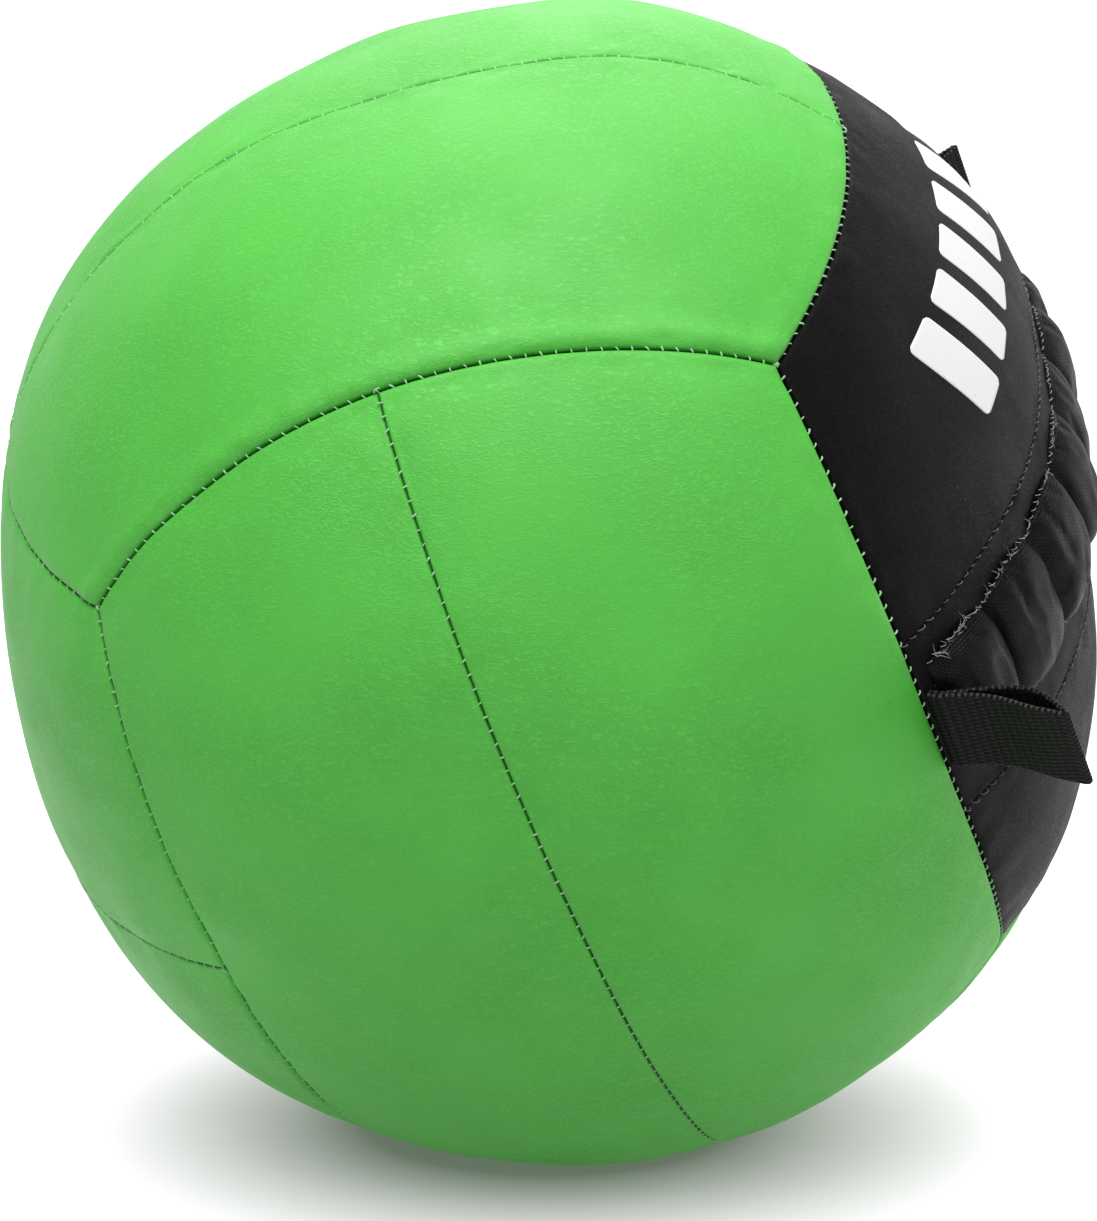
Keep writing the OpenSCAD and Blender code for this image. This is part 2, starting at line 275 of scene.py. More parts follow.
END_SWEEP = math.asin(CORNER / math.sqrt(1 - END_LEVEL ** 2))
STRIP_LEVEL = STRIP_HALF / CAD_RADIUS
STRIP_SWEEP = math.acos(END_LEVEL / math.sqrt(1 - STRIP_LEVEL ** 2)) - END_TILT


def towards(circle, angle, direction):
    """The angle with the sign that makes the circle's point lie towards a direction"""
    return angle if circle.point(0.5) @ direction > circle.point(-0.5) @ direction else -angle


def piece_edges(name):
    """The circles that bound a cover piece, with the sign of the inside: two ends, then two sides"""
    face, side = PIECES[name]
    normal, end, across = face_frame(face)
    low_end, high_end = end_circle(normal, -end), end_circle(normal, end)
    edges = [(low_end, -1), (high_end, -1)]
    if side:
        outward = across * side
        level, kind = (STRIP_LEVEL, "strip") if name in STRIPS else (0.0, "split")
        edges.append((split_circle(normal, outward, level, kind), -1))
        edges.append((end_circle(outward, normal), 1))
    else:
        edges.append((split_circle(normal, -across, STRIP_LEVEL, "strip"), 1))
        edges.append((split_circle(normal, across, STRIP_LEVEL, "strip"), 1))
    return edges


def border(circle, low, high, samples):
    """Points along a circle between two directions that lie on it"""
    angles = [math.atan2(p @ circle.second, p @ circle.first) for p in (low, high)]
    return circle.point(angles[0] + (angles[1] - angles[0]) * samples)


def piece_directions(name, along, across):
    """Unit directions over a cover piece: a net between its four border curves"""
    face, side = PIECES[name]
    normal, end, t = face_frame(face)
    low_end, high_end, near, far = (e[0] for e in piece_edges(name))
    outward = t * side if side else t
    sweep = STRIP_SWEEP if near.kind == "strip" else BOW_ANGLE
    far_sweep = STRIP_SWEEP if far.kind == "strip" else END_SWEEP

    def ends(circle, reach):
        a = towards(circle, reach, end)
        return circle.point(-a), circle.point(a)

    n0, n1 = ends(near, sweep)
    f0, f1 = ends(far, far_sweep)
    u, v = along[:, None, None], across[None, :, None]
    bottom, top = border(near, n0, n1, along)[:, None], border(far, f0, f1, along)[:, None]
    left, right = border(low_end, n0, f0, across)[None], border(high_end, n1, f1, across)[None]
    flat = (1 - u) * (1 - v) * n0 + u * (1 - v) * n1 + (1 - u) * v * f0 + u * v * f1
    net = (1 - v) * bottom + v * top + (1 - u) * left + u * right - flat
    assert outward @ (f0 + f1) > outward @ (n0 + n1)
    return net / np.linalg.norm(net, axis=-1, keepdims=True)


# ---------------------------------------------------------------- the cover's relief


def ripples(points, wavelength, seed, waves=22):
    """Smooth unevenness between about -1 and 1: a sum of seeded waves in all directions"""
    draw = np.random.default_rng(seed)
    total = np.zeros(points.shape[:-1])
    for _ in range(waves):
        way = unit(draw.normal(size=3)) * 2 * math.pi / (wavelength * draw.uniform(0.7, 1.5))
        total += np.sin(points @ way + draw.uniform(0, 2 * math.pi))
    return total / math.sqrt(waves)


# Seam kinds: radius of the rolled edge, depth of the broad dip beside it (mm)
SEAM_RELIEF = {"edge": (2.0, 1.2), "split": (1.0, 0.6), "strip": (0.35, 0.2)}
DIP_REACH = 15.0
PUCKER_REACH = 9.0
LIP_AT, LIP_WIDTH = 4.0, 3.4
# Pieces whose edge stands proud of the piece that it is sewn to: height of the lip (mm)
SIDE_LIPS = {"crown_front": 1.0, "crown_rear": 0.6}
END_LIPS = {"crown_front": 0.5, "crown_rear": 0.4, "front_left": -0.3, "front_right": -0.3}
# Places where the filling bulges (+) or sags (-): direction in the world, height, spread
BULGES = (
    ((0.35, 0.0, 0.94), 0.0030, 0.30),
    ((-0.88, 0.0, -0.47), 0.0030, 0.28),
    ((0.38, -0.1, -0.92), 0.0035, 0.25),
    ((-0.99, 0.0, -0.10), -0.0042, 0.25),
    ((0.78, 0.05, 0.62), 0.0085, 0.18),
    ((-0.29, 0.0, 0.957), 0.0023, 0.10),
    ((0.45, 0.0, 0.89), 0.0026, 0.22),
    ((-0.50, 0.0, 0.87), -0.0020, 0.25),
    ((-0.94, 0.0, 0.34), 0.0024, 0.20),
    ((-0.72, 0.0, -0.69), 0.0022, 0.22),
    ((-0.20, 0.0, -0.98), -0.0016, 0.20),
    ((0.66, 0.0, -0.75), -0.0016, 0.20),
    ((0.98, 0.0, 0.17), -0.0022, 0.22),
)


def cover_point(directions, depth):
    """Where the cover lies in the given directions, at a depth below its surface (metres)"""
    form = settings("form")
    power = form.squareness
    reach = form.radius * (np.abs(directions) ** power).sum(-1) ** (-1 / power)
    world = directions @ BALL_AXES
    for centre, height, spread in BULGES:
        gap = np.arccos(np.clip(world @ unit(np.array(centre)), -1, 1))
        reach = reach + height * np.exp(-((gap / spread) ** 2) / 2)
    points = directions * (reach - depth)[..., None]
    points[..., 0] *= form.flattening
    placed = to_world(points)
    # The floor stops the cover: what would sink through it spreads into a flat patch
    layer = np.maximum(depth, 0.0)
    soft = 2.5 * MM
    height = placed[..., 2] - layer
    placed[..., 2] = layer + (height + np.sqrt(height ** 2 + soft ** 2)) / 2
    return placed


def rolled_edge(distance, radius):
    """Depth below the surface of a seam edge that is rolled over with a radius"""
    inside = np.clip(radius - distance, 0, radius)
    return radius - np.sqrt(radius ** 2 - inside ** 2)


def broad_dents(directions):
    """Slow unevenness of the whole cover, as a depth in metres"""
    return settings("form").dents * (ripples(directions, 0.9, 3) + 0.35 * ripples(directions, 0.3, 4))


def piece_relief(name, directions):
    """Depth of a cover piece below the ball's smooth form, in metres, and its distance to a seam"""
    form = settings("form")
    rolled, dip, lip = 0.0, 0.0, 0.0
    nearest = np.full(directions.shape[:-1], 1e3)
    for index, (circle, sign) in enumerate(piece_edges(name)):
        distance = np.maximum(circle.distance(directions) * sign, 0)
        radius, sink = SEAM_RELIEF[circle.kind]
        rolled = np.maximum(rolled, rolled_edge(distance, radius))
        dip = np.maximum(dip, sink * np.exp(-distance / DIP_REACH))
        height = SIDE_LIPS.get(name, 0) if index == 3 else END_LIPS.get(name, 0) if index < 2 else 0
        lip = lip + height * np.exp(-((distance - LIP_AT) / LIP_WIDTH) ** 2)
        nearest = np.minimum(nearest, distance)
    seed = list(PIECES).index(name)
    gather = ripples(directions, 0.085, 40 + seed) + 0.6 * ripples(directions, 0.04, 70 + seed)
    puckers = form.puckers / MM * gather * np.exp(-nearest / PUCKER_REACH)
    relief = rolled + dip - lip + puckers * np.minimum(nearest / 2, 1)
    return relief * MM + broad_dents(directions), nearest


# ---------------------------------------------------------------- meshes


def add_object(name, data):
    """A new object in the scene, of a mesh, a curve, a lamp or a camera"""
    obj = bpy.data.objects.new(name, data)
    bpy.context.scene.collection.objects.link(obj)
    return obj


def mesh_object(name, points, faces, material, smooth=True):
    mesh = bpy.data.meshes.new(name)
    mesh.from_pydata([tuple(p) for p in points], [], [tuple(f) for f in faces])
    mesh.validate()
    mesh.polygons.foreach_set("use_smooth", [smooth] * len(mesh.polygons))
    mesh.materials.append(material)
    return add_object(name, mesh)


def line_object(name, lines):
    """A curve object with one spline of straight steps for each line of points"""
    curve = bpy.data.curves.new(name, "CURVE")
    curve.dimensions = "3D"
    for points in lines:
        spline = curve.splines.new("POLY")
        spline.points.add(len(points) - 1)
        for target, point in zip(spline.points, points):
            target.co = (*point, 1)
    return add_object(name, curve)


def grid_faces(rows, columns, first=0, wrap=False):
    """Faces of a grid of points, closed on itself across the columns if wrap"""
    last = columns if wrap else columns - 1
    r, c = np.meshgrid(np.arange(rows - 1), np.arange(last), indexing="ij")
    d = (c + 1) % columns
    near, far = r * columns, (r + 1) * columns
    quads = np.stack([near + c, far + c, far + d, near + d], -1)
    return (quads.reshape(-1, 4) + first).tolist()


def outward_grid(points, centre):
    """Faces of an open grid, wound to face away from a centre"""
    rows, columns = points.shape[:2]
    i, j = rows // 2, columns // 2
    normal = np.cross(points[i + 1, j] - points[i, j], points[i, j + 1] - points[i, j])
    faces = grid_faces(rows, columns)
    if normal @ (points[i, j] - centre) < 0:
        faces = [f[::-1] for f in faces]
    return faces


def closed_slab(name, top, bottom, material):
    """A closed solid between two grids of points of the same shape, top away from the centre"""
    rows, columns = top.shape[:2]
    count = rows * columns
    faces = outward_grid(top, CENTRE)
    faces += [[i + count for i in f[::-1]] for f in faces]
    index = np.arange(count).reshape(rows, columns)
    loop = np.concatenate([index[0, :-1], index[:-1, -1], index[-1, :0:-1], index[:0:-1, 0]])
    wound = outward_grid(top, CENTRE)[0]
    along = (wound.index(int(loop[1])) - wound.index(int(loop[0]))) % 4 if int(loop[1]) in wound else 1
    for a, b in zip(loop, np.roll(loop, -1)):
        quad = [int(a), int(b), int(b) + count, int(a) + count]
        faces.append(quad[::-1] if along == 1 else quad)
    points = np.concatenate([top.reshape(-1, 3), bottom.reshape(-1, 3)])
    return mesh_object(name, points, faces, material)


def finish_piece(obj, body, *nodes, slot=None):
    """Puts a piece on its body, in the place of the nodes that it stands for; its slot is not used"""
    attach(obj, body)
    if nodes:
        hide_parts(*nodes)
    return obj


def add_solidify(obj, thickness):
    """Thickens a surface inward"""
    solid = obj.modifiers.new("thickness", "SOLIDIFY")
    solid.thickness = thickness
    solid.offset = -1
    return solid


def store_attribute(obj, name, values):
    """Keeps a value for every point, for the shaders"""
    layer = obj.data.attributes.new(name, "FLOAT", "POINT")
    layer.data.foreach_set("value", np.ascontiguousarray(values, dtype=np.float32).ravel())


def store_weave(obj, uv):
    """Keeps a place in the weave for every point, as the map that the woven finishes read"""
    corner = np.empty(len(obj.data.loops), dtype=np.int32)
    obj.data.loops.foreach_get("vertex_index", corner)
    layer = obj.data.uv_layers.new(name="weave")
    layer.data.foreach_set("uv", uv[corner].astype(np.float32).ravel())


# ---------------------------------------------------------------- materials


def new_group(name, inputs, outputs):
    """A group of shader nodes with its sockets, and its two end nodes"""
    group = bpy.data.node_groups.new(name, "ShaderNodeTree")
    for label, default in inputs.items():
        kind = "NodeSocketColor" if isinstance(default, tuple) else "NodeSocketFloat"
        socket = group.interface.new_socket(label, in_out="INPUT", socket_type=kind)
        socket.default_value = default
    for label, kind in outputs.items():
        group.interface.new_socket(label, in_out="OUTPUT", socket_type=kind)
    source, sink = group.nodes.new("NodeGroupInput"), group.nodes.new("NodeGroupOutput")
    return group, source, sink


class Wiring:
    """Short calls that add and join shader nodes"""

    def __init__(self, tree):
        self.tree = tree

    def add(self, kind, **settings_):
        node = self.tree.nodes.new(kind)
        for key, value in settings_.items():
            setattr(node, key, value)
        return node

    def put(self, socket, value):
        """Joins a socket to another one or gives it a value"""
        if isinstance(value, bpy.types.NodeSocket):
            self.tree.links.new(value, socket)
        elif value is not None:
            socket.default_value = value

    def math(self, operation, a, b=None, c=None, clamp=False):
        node = self.add("ShaderNodeMath", operation=operation, use_clamp=clamp)
        for socket, value in zip(node.inputs, (a, b, c)):
            self.put(socket, value)
        return node.outputs[0]

    def place(self):
        """Where a point lies in its object"""
        return self.add("ShaderNodeTexCoord").outputs["Object"]

    def noise(self, vector, scale, detail=3.0, rough=0.5, distortion=0.0):
        node = self.add("ShaderNodeTexNoise")
        for key, value in (("Vector", vector), ("Scale", scale), ("Detail", detail),
                           ("Roughness", rough), ("Distortion", distortion)):
            self.put(node.inputs[key], value)
        return node.outputs["Fac"]

    def voronoi(self, vector, scale):
        node = self.add("ShaderNodeTexVoronoi", feature="F1")
        self.put(node.inputs["Vector"], vector)
        self.put(node.inputs["Scale"], scale)
        return node.outputs["Distance"]

    def mapping(self, vector, scale=(1, 1, 1), turn=(0, 0, 0), move=(0, 0, 0)):
        node = self.add("ShaderNodeMapping")
        self.put(node.inputs["Vector"], vector)
        node.inputs["Scale"].default_value = scale
        node.inputs["Rotation"].default_value = turn
        node.inputs["Location"].default_value = move
        return node.outputs["Vector"]

    def remap(self, value, low, high, to_low=0.0, to_high=1.0, smooth=False):
        node = self.add("ShaderNodeMapRange", clamp=True)
        if smooth:
            node.interpolation_type = "SMOOTHSTEP"
        for key, v in (("Value", value), ("From Min", low), ("From Max", high),
                       ("To Min", to_low), ("To Max", to_high)):
            self.put(node.inputs[key], v)
        return node.outputs["Result"]

    def mix(self, factor, a, b, blend="MIX"):
        node = self.add("ShaderNodeMix", data_type="RGBA", blend_type=blend)
        self.put(node.inputs[0], factor)
        self.put(node.inputs[6], a)
        self.put(node.inputs[7], b)
        return node.outputs[2]

    def group(self, tree, **values):
        node = self.add("ShaderNodeGroup", node_tree=tree)
        for key, value in values.items():
            self.put(node.inputs[key.replace("_", " ")], value)
        return node

    def bump(self, height, strength, distance, normal=None):
        node = self.add("ShaderNodeBump")
        for key, value in (("Height", height), ("Strength", strength), ("Distance", distance),
                           ("Normal", normal)):
            if value is not None:
                self.put(node.inputs[key], value)
        return node.outputs["Normal"]


# Painted shade: the black put at the bottom of a fold, a seam, a channel or a low place of the weave
PAINTED_SHADE_BLACK = (0.0008, 0.0008, 0.0008)


def rgba(colour_):
    return (*colour_, 1.0)


def toned(colour_, factor, lift=0.0):
    """A colour made lighter or darker, as a socket takes it"""
    return rgba(min(1.0, c * factor + lift) for c in colour_)


def vinyl_grain_group():
    """Pressed leather-like grain: soft plateaus with fine creases between them, uneven in depth"""
    group, source, sink = new_group(
        "vinyl_grain", {"Cell": 0.0024},
        {"Height": "NodeSocketFloat", "Crease": "NodeSocketFloat", "Patch": "NodeSocketFloat"})
    w = Wiring(group)
    place = w.place()
    per_cell = w.math("DIVIDE", 1.0, source.outputs["Cell"])
    stretched = w.mapping(place, scale=(1.0, 1.0, 2.1), turn=(0.2, 0.15, 0.1))
    cells = w.noise(stretched, per_cell, detail=4, rough=0.62, distortion=0.7)
    ridge = w.math("ABSOLUTE", w.math("SUBTRACT", cells, 0.5))
    plateau = w.remap(ridge, 0.0, 0.15, smooth=True)
    fine = w.noise(place, w.math("MULTIPLY", per_cell, 2.6), detail=2)
    depth = w.remap(w.noise(place, 22.0, detail=3), 0.32, 0.66, 0.35, 1.0)
    height = w.math("MULTIPLY_ADD", fine, 0.45, plateau)
    w.put(sink.inputs["Height"], w.math("MULTIPLY", height, depth))
    w.put(sink.inputs["Crease"], w.math("MULTIPLY", w.math("SUBTRACT", 1.0, plateau), depth))
    w.put(sink.inputs["Patch"], w.noise(place, 9.0, detail=3))
    return group


def seam_shade_group():
    """Painted shade: darkening towards the bottom of a seam, from the stored distance to it (mm)"""
    group, source, sink = new_group(
        "seam_shade", {"Colour": (1, 1, 1, 1), "Dark": (0, 0, 0, 1), "Reach": 2.0, "Amount": 0.6},
        {"Colour": "NodeSocketColor"})
    w = Wiring(group)
    distance = w.add("ShaderNodeAttribute", attribute_name="seam").outputs["Fac"]
    near = w.remap(distance, 0.0, source.outputs["Reach"], 1.0, 0.0, smooth=True)
    mask = w.math("MULTIPLY", near, source.outputs["Amount"])
    w.put(sink.inputs["Colour"], w.mix(mask, source.outputs["Colour"], source.outputs["Dark"]))
    return group


def shared(name, make):
    """The group of shader nodes of that name, made the first time that it is asked for"""
    return bpy.data.node_groups.get(name) or make()


def new_material(name):
    """A material, short calls for its nodes, and its shader"""
    material = bpy.data.materials.new(name)
    material.use_nodes = True
    tree = material.node_tree
    shader = next(n for n in tree.nodes if n.type == "BSDF_PRINCIPLED")
    return material, Wiring(tree), shader


def vinyl_material(name, base, rough, gloss, dark, seam_reach, grain_strength):
    """Soft vinyl with a pressed grain, uneven gloss, painted shade in the grain's creases and painted
    shade in the seams
    """
    material, w, shader = new_material(name)
    grain = w.group(shared("vinyl_grain", vinyl_grain_group), Cell=settings("vinyl").grain)
    patch = w.remap(grain.outputs["Patch"], 0.3, 0.7)
    tone = w.mix(patch, toned(base, 0.93), toned(base, 1.07, 0.002))
    # Painted shade: the grain's creases are darkened in the colour
    crease_shaded = w.mix(w.math("MULTIPLY", grain.outputs["Crease"], 0.45), tone, toned(base, 0.66))
    # Painted shade: the colour darkens to the dark colour towards each seam
    seam = w.group(shared("seam_shade", seam_shade_group), Colour=crease_shaded, Dark=rgba(dark),
                   Reach=seam_reach, Amount=0.9)
    w.put(shader.inputs["Base Color"], seam.outputs["Colour"])
    place = w.place()
    smear = w.noise(place, 60.0, detail=4)
    smeared = w.remap(smear, 0.3, 0.7, rough - 0.04, rough + 0.05)
    worn = w.math("MULTIPLY_ADD", grain.outputs["Crease"], 0.10, smeared)
    w.put(shader.inputs["Roughness"], worn)
    w.put(shader.inputs["Normal"], w.bump(grain.outputs["Height"], grain_strength, 0.00016))
    shader.inputs["Specular IOR Level"].default_value = gloss
    return material


def green_vinyl():
    # Colour, roughness, gloss, painted shade colour in the seams, reach of that (mm) and strength of
    # the grain
    return made("green_vinyl", lambda n: vinyl_material(
        n, tuple(settings("vinyl").green), 0.52, 0.72, (0.030, 0.220, 0.018), 0.7, 0.55))


def black_vinyl():
    return made("black_vinyl", lambda n: vinyl_material(
        n, tuple(settings("vinyl").black), 0.46, 0.07, PAINTED_SHADE_BLACK, 0.6, 0.7))


def made(name, make):
    """The finish of that name, built the first time that it is asked for"""
    if name not in FINISHES:
        FINISHES[name] = make(name + "_finish")
    return FINISHES[name]


def woven_material(name):
    """Woven-pattern vinyl of the grip pad: a fine weave of small raised cells, with painted shade in
    the gaps of the weave and black painted shade in its channels
    """
    material, w, shader = new_material(name)
    base = tuple(settings("vinyl").pad)
    uv = w.add("ShaderNodeUVMap", uv_map="weave").outputs["UV"]
    checks = w.add("ShaderNodeTexBrick", offset=0.5, squash=1.0)
    w.put(checks.inputs["Vector"], uv)
    for key, value in (("Scale", 1.0), ("Mortar Size", 0.13), ("Mortar Smooth", 0.9),
                       ("Brick Width", 1.0), ("Row Height", 0.6)):
        checks.inputs[key].default_value = value
    gaps = checks.outputs["Fac"]
    place = w.place()
    worn = w.noise(place, 90.0, detail=4)
    # Painted shade: the gaps between the raised cells are much darker than the cells
    tone = w.mix(gaps, toned(base, 2.0, 0.0005), toned(base, 0.1))
    scuffed = w.mix(w.remap(worn, 0.54, 0.75, 0.0, 0.20), tone, (0.026, 0.024, 0.023, 1))
    # Painted shade: black towards the sewn channels and the pad's long edges
    channel = w.group(shared("seam_shade", seam_shade_group), Colour=scuffed,
                      Dark=rgba(PAINTED_SHADE_BLACK), Reach=4.0, Amount=1.0)
    w.put(shader.inputs["Base Color"], channel.outputs["Colour"])
    w.put(shader.inputs["Roughness"], w.remap(worn, 0.3, 0.7, 0.38, 0.52))
    raised = w.bump(w.math("SUBTRACT", 1.0, gaps), 1.0, 0.0005)
    w.put(shader.inputs["Normal"], w.bump(w.noise(place, 900.0), 0.2, 0.0002, raised))
    shader.inputs["Specular IOR Level"].default_value = 0.12
    return material


def webbing_material(name):
    """Black webbing: ribs of short raised floats, offset from rib to rib, and a beaded selvedge"""
    material, w, shader = new_material(name)
    form = settings("webbing")
    uv = w.add("ShaderNodeUVMap", uv_map="weave").outputs["UV"]
    part = w.add("ShaderNodeSeparateXYZ")
    w.put(part.inputs[0], uv)
    along = w.math("DIVIDE", part.outputs[0], form.rib / MM)
    # Every second rib is offset by half a float; the 500 keeps the count above zero
    number = w.math("FLOOR", w.math("ADD", along, 500.0))
    shift = w.math("MULTIPLY", w.math("MODULO", number, 2.0), 0.5)
    over = w.math("ADD", w.math("DIVIDE", part.outputs[1], form.float_t / MM), shift)
    wave = w.math("ABSOLUTE", w.math("SINE", w.math("MULTIPLY", along, math.pi)))
    beads = w.math("ABSOLUTE", w.math("SINE", w.math("MULTIPLY", over, math.pi)))
    height = w.math("MULTIPLY", w.math("POWER", wave, 0.5), beads)
    fibres = w.noise(w.mapping(uv, scale=(1.5, 6.0, 1.0)), 4.0, detail=3)
    raised = w.math("MULTIPLY", height, fibres)
    # Painted shade: the low places of the weave are black, the raised floats lighter and varied by the
    # fibres
    tone = w.mix(raised, rgba(PAINTED_SHADE_BLACK), (0.011, 0.011, 0.0105, 1))
    rim = w.remap(w.math("ABSOLUTE", part.outputs[1]), 11.6, 12.3)
    spot = w.math("ABSOLUTE", w.math("SINE", w.math("MULTIPLY", part.outputs[0], math.pi / 1.8)))
    selvedge = w.math("MULTIPLY", rim, w.math("POWER", spot, 6.0))
    w.put(shader.inputs["Base Color"], w.mix(selvedge, tone, (0.075, 0.075, 0.07, 1)))
    w.put(shader.inputs["Roughness"], w.remap(fibres, 0.3, 0.7, 0.5, 0.68))
    woven = w.bump(height, 0.9, 0.0005)
    w.put(shader.inputs["Normal"], w.bump(fibres, 0.3, 0.00015, woven))
    shader.inputs["Specular IOR Level"].default_value = 0.16
    return material


def thread_material(name, base):
    """Twisted thread"""
    material, w, shader = new_material(name)
    place = w.place()
    fibre = w.noise(place, 2600.0, detail=2)
    w.put(shader.inputs["Base Color"], w.mix(fibre, toned(base, 0.7), rgba(base)))
    shader.inputs["Roughness"].default_value = 0.6
    w.put(shader.inputs["Normal"], w.bump(fibre, 0.3, 0.0001))
    shader.inputs["Sheen Weight"].default_value = 0.3
    return material


def ink_material(name):
    """Screen-printed ink: takes the grain below it, with small pinholes"""
    material, w, shader = new_material(name)
    grain = w.group(shared("vinyl_grain", vinyl_grain_group), Cell=settings("vinyl").grain)
    place = w.place()
    holes = w.remap(w.noise(place, 420.0, detail=3), 0.70, 0.76, 0.0, 0.5)
    w.put(shader.inputs["Base Color"], w.mix(holes, (0.86, 0.86, 0.85, 1), (0.30, 0.30, 0.30, 1)))
    w.put(shader.inputs["Roughness"], w.remap(grain.outputs["Patch"], 0.3, 0.7, 0.38, 0.5))
    w.put(shader.inputs["Normal"], w.bump(grain.outputs["Height"], 0.25, 0.0001))
    return material


def soft_material(name, base, scale, bump_depth, contrast=0.75):
    """Matt fibrous or granular stuff inside the ball"""
    material, w, shader = new_material(name)
    place = w.place()
    tufts = w.noise(place, scale, detail=6, rough=0.7)
    cells = w.voronoi(place, scale * 1.6)
    tone = w.mix(tufts, toned(base, contrast), rgba(base))
    w.put(shader.inputs["Base Color"], tone)
    w.put(shader.inputs["Normal"], w.bump(w.math("ADD", tufts, cells), 0.6, bump_depth))
    shader.inputs["Roughness"].default_value = 0.9
    shader.inputs["Sheen Weight"].default_value = 0.2
    return material


def cloth_material(name, base, threads_per_mm=2.0):
    """Plain-woven cloth"""
    material, w, shader = new_material(name)
    place = w.place()
    rate = threads_per_mm * 1000 * math.pi
    part = w.add("ShaderNodeSeparateXYZ")
    w.put(part.inputs[0], place)
    warp = w.math("SINE", w.math("MULTIPLY", part.outputs[0], rate))
    weft = w.math("SINE", w.math("MULTIPLY", w.math("ADD", part.outputs[1], part.outputs[2]), rate))
    weave = w.math("MULTIPLY", warp, weft)
    patch = w.noise(place, 40.0)
    w.put(shader.inputs["Base Color"], w.mix(patch, toned(base, 0.82), rgba(base)))
    w.put(shader.inputs["Normal"], w.bump(weave, 0.4, 0.0002))
    shader.inputs["Roughness"].default_value = 0.85
    shader.inputs["Sheen Weight"].default_value = 0.25
    return material


def backing_foam():
    return made("backing_foam", lambda n: soft_material(n, (0.66, 0.64, 0.56), 900.0, 0.0003))


# ---------------------------------------------------------------- cover panels

# Rows of a panel's net (mm): the step in its middle, the places beside a seam, and the first of
# them, just inside the seam
NET_STEP = 2.3
EDGE_STEPS = (0.7, 1.1, 1.7, 2.5, 3.5, 4.8, 6.5, 8.6)
SEAM_INSET = 0.05
# The turned-in edge: how far back from the seam and how deep each of its rows lies (mm)
TURNED_ROWS = ((1.0, 6.0), (0.75, 2.6))


def net_rows(span):
    """Places of a net's rows across a span (mm), with the depth of the turned-in rows at its ends"""
    near = [r[0] for r in TURNED_ROWS] + [SEAM_INSET, *EDGE_STEPS]
    deep = [r[1] for r in TURNED_ROWS] + [0.0] * (1 + len(EDGE_STEPS))
    inner = span - 2 * EDGE_STEPS[-1]
    count = max(4, round(inner / NET_STEP))
    middle = EDGE_STEPS[-1] + inner * np.arange(1, count) / count
    places = np.concatenate([near, middle, span - np.array(near[::-1])]) / span
    return places, np.concatenate([deep, np.zeros(count - 1), deep[::-1]])


def piece_span(name):
    """Mean length and width of a cover piece over the ball (mm)"""
    corners = piece_directions(name, np.linspace(0, 1, 41), np.linspace(0, 1, 21))
    long = np.linalg.norm(np.diff(corners, axis=0), axis=-1).sum(0).mean()
    wide = np.linalg.norm(np.diff(corners, axis=1), axis=-1).sum(1).mean()
    return long * CAD_RADIUS / MM, wide * CAD_RADIUS / MM


class BALL_OT_cover(Operator):
    """Build the ten bright panels and the three dark strips, with rolled and turned-in seam edges"""

    bl_idname = "ball.cover"
    bl_label = "Cover"

    def execute(self, context):
        for name in PIECES:
            long, wide = piece_span(name)
            along, along_deep = net_rows(long)
            across, across_deep = net_rows(wide)
            directions = piece_directions(name, along, across)
            relief, nearest = piece_relief(name, directions)
            turned = np.maximum(along_deep[:, None], across_deep[None, :]) * MM
            points = cover_point(directions, relief + turned)
            strip = name in STRIPS
            node = name + ("_strip" if strip else "_panel")
            obj = mesh_object(node + "_cover", points.reshape(-1, 3), outward_grid(points, CENTRE),
                              black_vinyl() if strip else green_vinyl())
            # Distance to the seam for the painted seam shade; the turned-in rows get 0 and are fully
            # shaded
            store_attribute(obj, "seam", np.where(turned > 0, 0, nearest))
            add_solidify(obj, settings("form").cover_t)
            finish_piece(obj, "ball", node, slot="black_vinyl" if strip else "green_vinyl")
        return {"FINISHED"}


# ---------------------------------------------------------------- stitches

SEAM_SAMPLES = 160
# A stitch's ends dip below the seam by this part of its reach
STITCH_DROP = 0.28
STITCH_ARCH = 0.35
# How far a stitch is turned askew at random (radians), and its size at random
ASKEW = 0.35
SIZE_RANGE = (0.75, 1.15)

def seam_runs():
    """Every seam once: group of thread, circle and half its sweep"""
    runs = []
    for face in FACES:
        normal, end, across = face_frame(face)
        for way in (end, -end):
            runs.append(("edge_seam_threads", end_circle(normal, way), END_SWEEP))
        if face == "grip":
            for way in (across, -across):
                circle = split_circle(normal, way, STRIP_LEVEL, "strip")
                runs.append(("strip_seam_threads", circle, STRIP_SWEEP))
        else:
            group = "closing_seam_thread" if face == "base" else "split_seam_threads"
            runs.append((group, split_circle(normal, across, 0.0, "split"), BOW_ANGLE))
    return runs


def seam_curve(name, runs, depth):
    """The seams' bottom lines as one curve object of several splines"""
    lines = []
    for circle, sweep in runs:
        directions = circle.point(np.linspace(-sweep, sweep, SEAM_SAMPLES))
        lines.append(cover_point(directions, broad_dents(directions) + depth))
    return line_object(name, lines)


def geometry_tree(name, inputs):
    """A geometry node tree with its inputs, and its two end nodes"""
    tree = bpy.data.node_groups.new(name, "GeometryNodeTree")
    tree.interface.new_socket("Geometry", in_out="INPUT", socket_type="NodeSocketGeometry")
    for label, (kind, default) in inputs.items():
        socket = tree.interface.new_socket(label, in_out="INPUT", socket_type="NodeSocket" + kind)
        if default is not None:
            socket.default_value = default
    tree.interface.new_socket("Geometry", in_out="OUTPUT", socket_type="NodeSocketGeometry")
    return tree, tree.nodes.new("NodeGroupInput"), tree.nodes.new("NodeGroupOutput")


